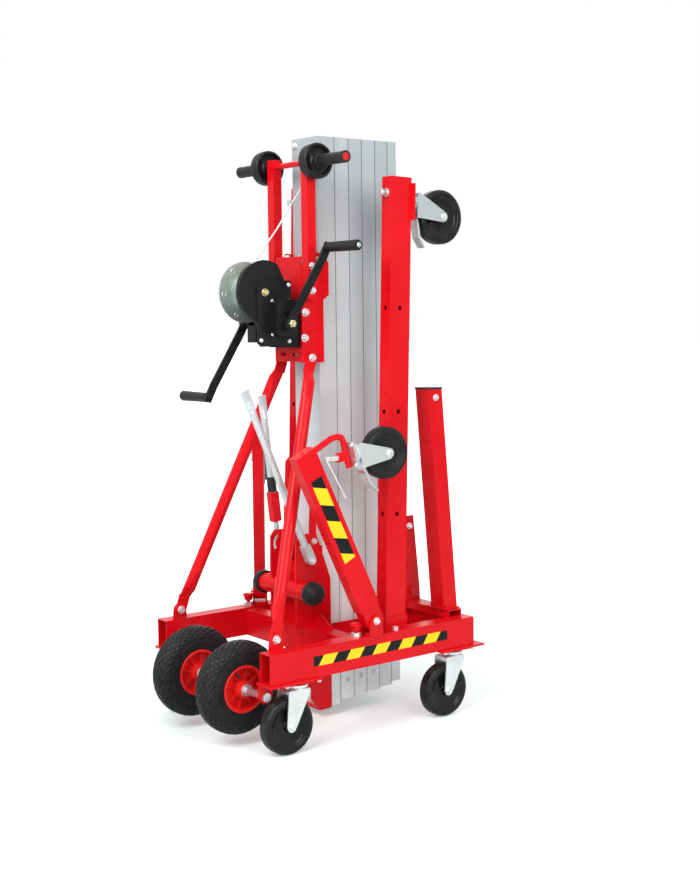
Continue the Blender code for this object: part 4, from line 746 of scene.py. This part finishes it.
def add_hubs():
    """Ribs, rim lip, bearing bush and valve of the pneumatic wheels."""
    for side, word in SIDES:
        for sign in (1, -1):
            shape = bmesh.new()
            matrix = aligned(row(side * WHEEL_X, WHEEL_Y, WHEEL_Z), (sign, 0.0, 0.0))
            add_lathe(shape, matrix, [(0.0555, 0.012), (0.0590, 0.030), (0.0605, 0.0345), (0.0640, 0.0362),
                                      (0.0672, 0.0350), (0.0682, 0.0325), (0.0660, 0.0290), (0.0590, 0.0200),
                                      (0.0555, 0.012)], 56)
            add_lathe(shape, matrix, [(0.0215, 0.0075), (0.0570, 0.0075), (0.0570, 0.0105), (0.0300, 0.0118),
                                      (0.0255, 0.0300), (0.0200, 0.0330), (0.0200, 0.0100),
                                      (0.0215, 0.0075)], 56)
            for index in range(8):
                angle = 2 * math.pi * (index + 0.71) / 8
                spin = matrix @ Matrix.Rotation(angle, 4, "Z")
                add_box(shape, spin, (0.0225, -0.0020, 0.010), (0.0575, 0.0020, 0.0245), 0.0008)
            add_piece("hub_ribs_" + word + ("_out" if sign == side else "_in"), shape,
                      "pneumatic_wheel_" + word, hub_red)
        shape = bmesh.new()
        matrix = aligned(row(side * WHEEL_X, WHEEL_Y, WHEEL_Z), (side, 0.0, 0.0))
        bush = [(0.0108, 0.0395), (0.0108, 0.0430), (0.0150, 0.0430), (0.0165, 0.0415), (0.0165, 0.0395),
                (0.0108, 0.0395)]
        add_lathe(shape, matrix, bush, 28)
        add_lathe(shape, aligned(row(side * WHEEL_X, WHEEL_Y, WHEEL_Z), (-side, 0.0, 0.0)), bush, 28)
        add_piece("hub_bush_" + word, shape, "pneumatic_wheel_" + word, zinc_plate)
        shape = bmesh.new()
        angle = math.radians(118)
        foot = row(side * (WHEEL_X + 0.020), WHEEL_Y + 0.058 * math.cos(angle),
                   WHEEL_Z + 0.058 * math.sin(angle))
        way = (side * 0.75, -0.66 * math.cos(angle), -0.66 * math.sin(angle))
        add_lathe(shape, aligned(foot, way), [(0.0, 0.0), (0.0045, 0.0), (0.0040, 0.010), (0.0028, 0.011),
                                              (0.0028, 0.014),
                                               (0.0036, 0.0145), (0.0036, 0.022), (0.0030, 0.023),
                                               (0.0, 0.023)], 18)
        add_piece("valve_" + word, shape, "pneumatic_wheel_" + word, black_rubber, True)


hub_red = powder_coat("moulded red hub", (0.80, 0.016, 0.012), (0.68, 0.010, 0.010), (0.86, 0.05, 0.04))


def add_grip_ends():
    """Red plugs in the ends of the handle bar, with a black collar around each."""
    for side, word in SIDES:
        shape = bmesh.new()
        matrix = aligned(row(side * 0.2635, HANDLE_Y, HANDLE_Z), (side, 0.0, 0.0))
        add_lathe(shape, matrix, [(0.0, -0.001), (0.0118, -0.001), (0.0118, 0.0004), (0.0105, 0.0010),
                                  (0.0, 0.0013)], 32)
        add_piece("handle_plug_" + word, shape, "base", red_cap)
        shape = bmesh.new()
        collar = [(0.0167, -0.0082), (0.0170, -0.0078), (0.0170, 0.0008), (0.0160, 0.0016), (0.0120, 0.0016),
                  (0.0120, 0.0002), (0.0167, -0.0082)]
        add_lathe(shape, matrix, collar, 32)
        add_piece("handle_collar_" + word, shape, "base", grip_rubber)


def mirrored_profile(half):
    """A profile given for one side, from the bore out, and its mirror image, closed through the bore."""
    return half + [(radius, -height) for radius, height in reversed(half)] + [half[0]]


def add_turned(name, body, material, centre, way, profile, segments=64, angle=35):
    shape = bmesh.new()
    add_lathe(shape, aligned(centre, way), profile, segments)
    piece = add_piece(name, shape, body, material, True)
    piece.data.set_sharp_from_angle(angle=math.radians(angle))
    return piece


def caster_profile(radius):
    k = radius / 0.080
    return mirrored_profile([
        (0.0063, 0.0231), (0.0132, 0.0231), (0.0145, 0.0222), (0.0150, 0.0150), (0.0175, 0.0112),
        (0.0230, 0.0096),
        (0.0420 * k, 0.0094), (0.0530 * k, 0.0106), (0.0580 * k, 0.0140), (0.0605 * k, 0.0180),
        (0.0635 * k, 0.0198),
        (0.0665 * k, 0.0200), (0.0735 * k, 0.0198), (0.0768 * k, 0.0182), (0.0790 * k, 0.0150),
        (0.0799 * k, 0.0110),
        (radius, 0.0060)
    ])


def add_wheels():
    """Moulded wheels with a dished web and a hub, in place of the plain CAD ones."""
    far = (math.cos(FAR_SWING), math.sin(FAR_SWING), 0.0)
    for word in ("right", "left"):
        for end in ("rear_caster", "front_caster", "leg_caster", "outrigger_caster"):
            node = end + "_" + word + "_wheel"
            radius = 0.075 if end == "outrigger_caster" else 0.080
            way = far if end == "outrigger_caster" and word == "left" else (1.0, 0.0, 0.0)
            centre = middle_of(node)
            piece = add_turned("moulded_" + node, node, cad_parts[node].data.materials[0], centre, way,
                               caster_profile(radius))
            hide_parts(node)
        node = "loading_wheel_" + word
        low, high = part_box(node)
        half = (high.x - low.x) / 2
        cup = mirrored_profile([
            (0.0090, half), (0.0150, half), (0.0165, half - 0.0012), (0.0172, half - 0.0080),
            (0.0220, half - 0.0110),
            (0.0330, half - 0.0112), (0.0385, half - 0.0095), (0.0412, half - 0.0030),
            (0.0425, half - 0.0006),
            (0.0445, half), (0.0480, half - 0.0004), (0.0502, half - 0.0025), (0.0510, half - 0.0060)
        ])
        piece = add_turned("moulded_" + node, node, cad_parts[node].data.materials[0], middle_of(node),
                           (1.0, 0.0, 0.0), cup)
        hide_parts(node)


def add_bumper_caps():
    """Domed rubber caps on the ends of the bumper bar."""
    for side, word in SIDES:
        cap = [(0.0, 0.0264), (0.0140, 0.0256), (0.0225, 0.0222), (0.0290, 0.0170), (0.0330, 0.0110),
               (0.0346, 0.0068),
               (0.0346, -0.0104), (0.0336, -0.0124), (0.0286, -0.0126), (0.0, -0.0126)]
        add_turned("bumper_cap_" + word, "base", grip_rubber, row(side * 0.128, 0.274, 0.396),
                   (side, 0.0, 0.0), cap, 48)


def add_leg_knobs():
    """Pins with a round knob near the tops of the front legs."""
    up = Vector((0.0, math.sin(LEG_LEAN), math.cos(LEG_LEAN)))
    back = Vector((0.0, -math.cos(LEG_LEAN), math.sin(LEG_LEAN)))
    for side, word in SIDES:
        foot = row(side * LEG_X, *LEG_FOOT) + up * 1.330 + back * 0.037
        add_turned("leg_pin_" + word, "front_leg_" + word, zinc_plate, foot, back, [
            (0.0, 0.0002), (0.0125, 0.0002), (0.0125, 0.0022), (0.0078, 0.0028), (0.0078, 0.0106),
            (0.0100, 0.0110),
            (0.0108, 0.0122), (0.0108, 0.0246), (0.0098, 0.0264), (0.0, 0.0268)
        ], 32)


def add_fork_caps():
    """End caps of the forks, and the bolt below each."""
    lean = math.tan(FORK_LEAN)
    for side, word in SIDES:
        _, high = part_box("fork_" + word)
        shape = bmesh.new()
        x = row(side * FORK_X, 0.0, 0.0).x
        y = row(0.0, FORK_Y, 0.0).y - lean * FORK_LENGTH
        low_corner = (x - 0.0316, y - 0.0276, high.z - 0.0044)
        high_corner = (x + 0.0316, y + 0.0276, high.z + 0.0008)
        add_box(shape, Matrix.Identity(4), low_corner, high_corner, 0.0008)
        add_piece("fork_cap_" + word, shape, "fork_" + word, black_rubber)
        shape = bmesh.new()
        at = Vector((x + side * 0.030, y + lean * 0.025, high.z - 0.029))
        add_hex_head(shape, at, (side, 0.0, 0.0), 0.006, 0.008, True)
        add_piece("fork_bolt_" + word, shape, "fork_" + word, white_zinc)


def add_knob_nuts():
    """Nut and mushroom cap of each plunger on the side beams."""
    for side, word in SIDES:
        shape = bmesh.new()
        add_lathe(shape, aligned(row(side * BEAM_MID_X, PLUNGER_Y, 0.290), (0.0, 0.0, 1.0)), [
            (0.0, 0.0003), (0.0150, 0.0003), (0.0150, 0.0108), (0.0132, 0.0124), (0.0, 0.0124)
        ], 6)
        add_piece("knob_nut_" + word, shape, "beam_plunger_" + word, white_zinc)
        add_turned("knob_cap_" + word, "beam_plunger_" + word, red,
                   row(side * BEAM_MID_X, PLUNGER_Y, 0.3205), (0.0, 0.0, 1.0), [
            (0.0, 0.0), (0.0150, 0.0), (0.0172, 0.0012), (0.0175, 0.0030), (0.0168, 0.0062),
            (0.0135, 0.0090),
            (0.0080, 0.0102), (0.0, 0.0106)
        ], 36)


def add_brace_trim():
    """Red fork head and black bellows of the far brace."""
    lean = math.radians(6.5)
    place = Matrix.Translation(row(-BRACE_X, BRACE_Y, BRACE_Z)) @ Matrix.Rotation(lean, 4, "X")
    shape = bmesh.new()
    add_box(shape, place, (-0.0126, -0.0146, 0.0994), (0.0126, 0.0146, 0.1906), 0.0016)
    add_piece("brace_fork_head", shape, "brace_left", red)
    way = place.to_3x3() @ Vector((0.0, 0.0, 1.0))
    rings = [(0.0, 0.0)]
    for index in range(7):
        rings += [(0.0131, 0.0008 + index * 0.0062), (0.0146, 0.0032 + index * 0.0062),
                  (0.0131, 0.0058 + index * 0.0062)]
    rings += [(0.0122, 0.0460), (0.0, 0.0460)]
    add_turned("brace_bellows", "brace_left", grip_rubber, place @ Vector((0.0, 0.0, 0.1906)), way, rings,
               32, 20)


def add_crank_nuts():
    """Nuts on the crank's shaft, the heads of its pins and the moulded grips that turn on them."""
    for side, word in SIDES:
        way = (side, 0.0, 0.0)
        shape = bmesh.new()
        add_hex_head(shape, row(side * 0.1215, CRANK_Y, CRANK_Z), way, 0.0118, 0.0108, True)
        add_piece("crank_nut_" + word, shape, "crank", yellow_zinc)
        turn = CRANK_ANGLE + (0 if side > 0 else math.pi)
        end = row(side * 0.2915, CRANK_Y + CRANK_RADIUS * math.cos(turn),
                  CRANK_Z + CRANK_RADIUS * math.sin(turn))
        head = [(0.0, 0.0), (0.0072, 0.0), (0.0072, 0.0012), (0.0062, 0.0020), (0.0036, 0.0022),
                (0.0030, 0.0010),
                (0.0, 0.0010)]
        at = end - Vector((side * 0.0002, 0.0, 0.0))
        add_turned("crank_pin_end_" + word, "crank", grey_zinc, at, way, head, 28)
        low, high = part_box("crank_grip_" + word)
        length = high.x - low.x
        start = Vector((low.x if side > 0 else high.x, end.y, end.z))
        grip = add_turned("moulded_grip_" + word, "crank_grip_" + word, grip_rubber, start, way, [
            (0.0066, 0.0), (0.0118, 0.0), (0.0142, 0.0012), (0.0150, 0.0036), (0.0142, 0.0120),
            (0.0146, length * 0.5), (0.0152, length - 0.0100), (0.0156, length - 0.0030),
            (0.0148, length - 0.0006),
            (0.0100, length), (0.0066, length), (0.0066, 0.0)
        ], 40)
        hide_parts("crank_grip_" + word)


def add_caster_plates():
    """Zinc plates over the ends of the outriggers' necks, which carry the casters."""
    for side, word in SIDES:
        swing = 0.0 if side > 0 else FAR_SWING
        lean = 0.0 if side > 0 else FAR_LEAN - ARM_LEAN
        stand = Matrix.Translation(row(side * PIVOT_X, PIVOT_Y, PIVOT_Z)) @ Matrix.Rotation(swing, 4, "Z")
        place = stand @ Matrix.Rotation(lean, 4, "X") @ Matrix.Translation((0.0, -0.0690, 0.4830))
        place = place @ Matrix.Rotation(math.radians(15.5), 4, "X")
        shape = bmesh.new()
        add_box(shape, place, (-0.0326, -0.0090, -0.0386), (0.0326, -0.0005, 0.0386), 0.0008)
        for sign in (1, -1):
            for end in (1, -1):
                at = place @ Vector((sign * 0.0245, -0.0090, end * 0.0300))
                way = place.to_3x3() @ Vector((0.0, -1.0, 0.0))
                add_hex_head(shape, at, way, 0.005, 0.0055, True)
        add_piece("caster_plate_" + word, shape, "outrigger_arm_" + word, zinc_plate)


def add_section_feet():
    """Stop bolts near the feet of the four middle mast sections, on both of their sides."""
    for index in range(2, 6):
        low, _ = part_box("mast_section_" + str(index))
        middle = (SECTION_FRONTS[index - 2] + SECTION_FRONTS[index - 1]) / 2
        shape = bmesh.new()
        for side in (1, -1):
            foot = row(side * 0.0621, middle, low.z + 0.058)
            add_hex_head(shape, foot, (side, 0.0, 0.0), 0.0023, 0.0062, True)
        add_piece("foot_bolts_" + str(index), shape, "mast_" + str(index), zinc_plate)


def add_bracket_plate():
    """The web of the winch bracket above the winch, with its folded top and two screws."""
    shape = bmesh.new()
    add_box(shape, Matrix.Identity(4), row(-0.0620, 0.2916, 1.2462), row(0.0620, 0.2956, 1.3740), 0.0008)
    add_box(shape, Matrix.Identity(4), row(-0.0620, 0.2946, 1.3700), row(0.0620, 0.3330, 1.3740), 0.0008)
    add_piece("bracket_web", shape, "base", red)
    shape = bmesh.new()
    for x in (-0.034, 0.034):
        add_hex_head(shape, row(x, 0.3140, 1.3741), (0.0, 0.0, 1.0), 0.006, 0.0075, True)
    add_hex_head(shape, row(-0.0480, 0.3569, 1.7020), (0.0, -1.0, 0.0), 0.008, 0.0080, True)
    add_piece("bracket_screws", shape, "base", white_zinc)


def add_drum_rings():
    """Rolled rims and plugs of the rope holes in the drum's far flange."""
    rims = bmesh.new()
    plugs = bmesh.new()
    for index in range(DRUM_HOLES):
        angle = 2 * math.pi * (index + 0.56) / DRUM_HOLES
        at = row(-0.0472, DRUM_Y + HOLE_CIRCLE * math.sin(angle), DRUM_Z - HOLE_CIRCLE * math.cos(angle))
        matrix = aligned(at, (1.0, 0.0, 0.0))
        add_lathe(rims, matrix, [(0.0053, -0.0004), (0.0055, 0.0006), (0.0062, 0.0010), (0.0070, 0.0007),
                                 (0.0074, -0.0004), (0.0053, -0.0004)], 24)
        add_lathe(plugs, matrix, [(0.0, -0.0016), (0.0054, -0.0016), (0.0054, -0.0028), (0.0, -0.0028)], 24)
    add_piece("drum_hole_rims", rims, "drum", white_zinc)
    add_piece("drum_hole_plugs", plugs, "drum", green_zinc)


def add_leg_brakes():
    """Brake levers on the casters of the front legs."""
    outline = [(-0.0453, -0.0205), (-0.0453, -0.0245), (-0.066, -0.0305), (-0.096, -0.0355),
               (-0.127, -0.0545),
               (-0.131, -0.0520), (-0.100, -0.0300), (-0.068, -0.0245)]
    for side, word in SIDES:
        place = Matrix.Translation(row(side * LEG_X, *LEG_FOOT)) @ Matrix.Rotation(-LEG_LEAN, 4, "X")
        place = place @ Matrix.Translation((0.0, 0.043, 1.308)) @ Matrix.Rotation(math.pi / 2, 4, "X")
        shape = bmesh.new()
        sides = [[shape.verts.new(place @ Vector((x, y, z))) for y, z in outline] for x in (-0.015, 0.015)]
        shape.faces.new(sides[0])
        shape.faces.new(sides[1])
        for index in range(len(outline)):
            after = (index + 1) % len(outline)
            shape.faces.new((sides[0][index], sides[0][after], sides[1][after], sides[1][index]))
        bmesh.ops.bevel(shape, geom=list(shape.edges), offset=0.0007, segments=2, affect="EDGES",
                        profile=0.6)
        add_piece("leg_brake_" + word, shape, "leg_caster_" + word + "_fork", zinc_plate)


def add_camera():
    """The camera, solved from the photograph."""
    azimuth = math.radians(52.3019)
    elevation = math.radians(5.124)
    roll = math.radians(-0.6615)
    focal = 1378.3542
    tall = 869
    back = Vector((math.sin(azimuth) * math.cos(elevation), -math.cos(azimuth) * math.cos(elevation),
                   math.sin(elevation)))
    right = Vector((math.cos(azimuth), math.sin(azimuth), 0.0))
    up = back.cross(right)
    right, up = (right * math.cos(roll) + up * math.sin(roll), up * math.cos(roll) - right * math.sin(roll))
    data = bpy.data.cameras.new("camera")
    data.sensor_fit = "VERTICAL"
    data.sensor_height = 36.0
    data.lens = 36.0 * focal / tall
    camera = bpy.data.objects.new("camera", data)
    bpy.context.scene.collection.objects.link(camera)
    place = Matrix((right, up, back)).transposed().to_4x4()
    place.translation = row(3.3245, -2.0550, 1.2149)
    camera.matrix_world = place
    data.clip_end = 200.0
    bpy.context.scene.camera = camera


def strand_material():
    """Bright steel wire with a film of grease in places."""
    graph = Graph("rope strands")
    grease = graph.span(graph.noise(130.0, 5.0), 0.45, 0.70, 0.0, 0.7)
    graph.color(graph.mix(grease, (0.80, 0.80, 0.79), (0.42, 0.40, 0.36)))
    graph.rough(graph.span(grease, 0.0, 0.7, 0.28, 0.46))
    graph.bump(graph.noise(2400.0, 2.0), 0.25, 0.0002)
    graph.set(Metallic=0.6)
    return graph.material


def cable_points():
    """The same points as the CAD rope has: the wrap on the drum, then the run to the mast."""
    reach = DRUM_CORE + CABLE_RADIUS + 0.0006
    turns = int(CABLE_WRAP * reach / CABLE_STEP)
    points = []
    for index in range(turns):
        share = 1 - index / turns
        angle = CABLE_LEAVES + CABLE_WRAP * share
        points.append(row(0.005 * share, DRUM_Y + reach * math.cos(angle), DRUM_Z + reach * math.sin(angle)))
    leave = row(0.0, DRUM_Y + reach * math.cos(CABLE_LEAVES), DRUM_Z + reach * math.sin(CABLE_LEAVES))
    route = [leave] + [row(0.0, y, z) for y, z in CABLE_ROUTE]
    for start, end in zip(route, route[1:]):
        count = max(2, round((end - start).length / CABLE_STEP))
        points += [start.lerp(end, index / count) for index in range(count)]
    points.append(route[-1])
    return points


def add_cable():
    """Six strands laid round each other along the rope's points."""
    points = cable_points()
    samples = []
    for start, end in zip(points, points[1:]):
        count = math.ceil((end - start).length / STRAND_STEP)
        samples += [start.lerp(end, index / count) for index in range(count)]
    samples.append(points[-1])
    shape = bmesh.new()
    rings = []
    run = 0.0
    for index, centre in enumerate(samples):
        if index:
            run += (centre - samples[index - 1]).length
        way = (samples[min(index + 1, len(samples) - 1)] - samples[max(index - 1, 0)]).normalized()
        up = way.cross(Vector((1.0, 0.0, 0.0))).normalized()
        side = up.cross(way)
        twist = 2 * math.pi * run / STRAND_LAY
        ring = []
        for corner in range(STRAND_CORNERS):
            angle = 2 * math.pi * corner / STRAND_CORNERS
            reach = CABLE_RADIUS * (0.90 + 0.10 * math.cos(6 * angle))
            turn = angle + twist
            ring.append(shape.verts.new(centre + (side * math.cos(turn) + up * math.sin(turn)) * reach))
        rings.append(ring)
    for first, second in zip(rings, rings[1:]):
        for corner in range(STRAND_CORNERS):
            after = (corner + 1) % STRAND_CORNERS
            shape.faces.new((first[corner], first[after], second[after], second[corner]))
    shape.faces.new(rings[0])
    shape.faces.new(rings[-1])
    piece = add_piece("winch_rope", shape, "base", strand_material(), True)
    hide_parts("winch_cable")


add_camera()
add_cable()
add_bolts()
add_winch_hardware()
add_tapes()
add_tread(1, "right")
add_tread(-1, "left")
add_hubs()
add_grip_ends()
add_wheels()
add_bumper_caps()
add_leg_knobs()
add_fork_caps()
add_knob_nuts()
add_brace_trim()
add_crank_nuts()
add_caster_plates()
add_section_feet()
add_bracket_plate()
add_drum_rings()
add_leg_brakes()


# Stage


def add_floor():
    """A pale floor that fades into the white background away from the object."""
    shape = bmesh.new()
    corners = [shape.verts.new(point) for point in ((-40, -40, 0), (40, -40, 0), (40, 40, 0), (-40, 40, 0))]
    shape.faces.new(corners)
    mesh = bpy.data.meshes.new("floor")
    shape.to_mesh(mesh)
    shape.free()
    floor = bpy.data.objects.new("floor", mesh)
    bpy.context.scene.collection.objects.link(floor)
    floor.location.z = -0.0006
    material = bpy.data.materials.new("floor")
    material.use_nodes = True
    tree = material.node_tree
    shader = next(node for node in tree.nodes if node.type == "BSDF_PRINCIPLED")
    # Painted light: the floor is tinted cyan to cancel the red light that the frame bounces onto it.
    shader.inputs["Base Color"].default_value = (0.78, 0.87, 0.87, 1.0)
    shader.inputs["Roughness"].default_value = 0.9
    shader.inputs["Specular IOR Level"].default_value = 0.1
    shader.inputs["Emission Color"].default_value = (1.0, 1.0, 1.0, 1.0)
    path = tree.nodes.new("ShaderNodeLightPath")
    place = tree.nodes.new("ShaderNodeTexCoord")
    away = tree.nodes.new("ShaderNodeVectorMath")
    away.operation = "LENGTH"
    tree.links.new(place.outputs["Object"], away.inputs[0])
    rise = tree.nodes.new("ShaderNodeMapRange")
    rise.inputs["From Min"].default_value = 0.7
    rise.inputs["From Max"].default_value = 2.2
    rise.inputs["To Min"].default_value = 0.26
    rise.inputs["To Max"].default_value = 1.0
    tree.links.new(away.outputs["Value"], rise.inputs["Value"])
    glow = tree.nodes.new("ShaderNodeMath")
    glow.operation = "MULTIPLY"
    tree.links.new(rise.outputs["Result"], glow.inputs[1])
    tree.links.new(path.outputs["Is Camera Ray"], glow.inputs[0])
    tree.links.new(glow.outputs[0], shader.inputs["Emission Strength"])
    mesh.materials.append(material)


def set_world():
    """A white world, dimmer for the light that it casts than for what looks at it."""
    world = bpy.data.worlds.new("studio")
    bpy.context.scene.world = world
    world.use_nodes = True
    tree = world.node_tree
    back = next(node for node in tree.nodes if node.type == "BACKGROUND")
    path = tree.nodes.new("ShaderNodeLightPath")
    seen = tree.nodes.new("ShaderNodeMath")
    seen.operation = "MAXIMUM"
    tree.links.new(path.outputs["Is Camera Ray"], seen.inputs[0])
    bright = tree.nodes.new("ShaderNodeMath")
    bright.operation = "MAXIMUM"
    tree.links.new(path.outputs["Is Transmission Ray"], bright.inputs[0])
    tree.links.new(path.outputs["Is Glossy Ray"], bright.inputs[1])
    tree.links.new(bright.outputs[0], seen.inputs[1])
    level = tree.nodes.new("ShaderNodeMapRange")
    level.inputs["To Min"].default_value = 0.54
    level.inputs["To Max"].default_value = 1.0
    tree.links.new(seen.outputs[0], level.inputs["Value"])
    tree.links.new(level.outputs["Result"], back.inputs["Strength"])
    back.inputs["Color"].default_value = (1.0, 1.0, 1.0, 1.0)


def add_lamp(name, at, target, size, power):
    data = bpy.data.lights.new(name, "AREA")
    data.shape = "RECTANGLE"
    data.size = size[0]
    data.size_y = size[1]
    data.energy = power
    lamp = bpy.data.objects.new(name, data)
    bpy.context.scene.collection.objects.link(lamp)
    lamp.location = at
    lamp.rotation_euler = (Vector(target) - Vector(at)).to_track_quat("-Z", "Y").to_euler()


add_floor()
set_world()
add_lamp("key", (1.2, -3.0, 3.4), (0.0, 0.0, 0.8), (2.2, 2.2), 135.0)
add_lamp("side", (3.8, -0.5, 2.4), (0.0, 0.0, 0.9), (1.8, 2.6), 80.0)
add_lamp("back", (-2.6, 2.2, 2.8), (0.0, 0.0, 0.9), (2.0, 2.0), 50.0)

scene = bpy.context.scene
scene.view_settings.view_transform = "Standard"
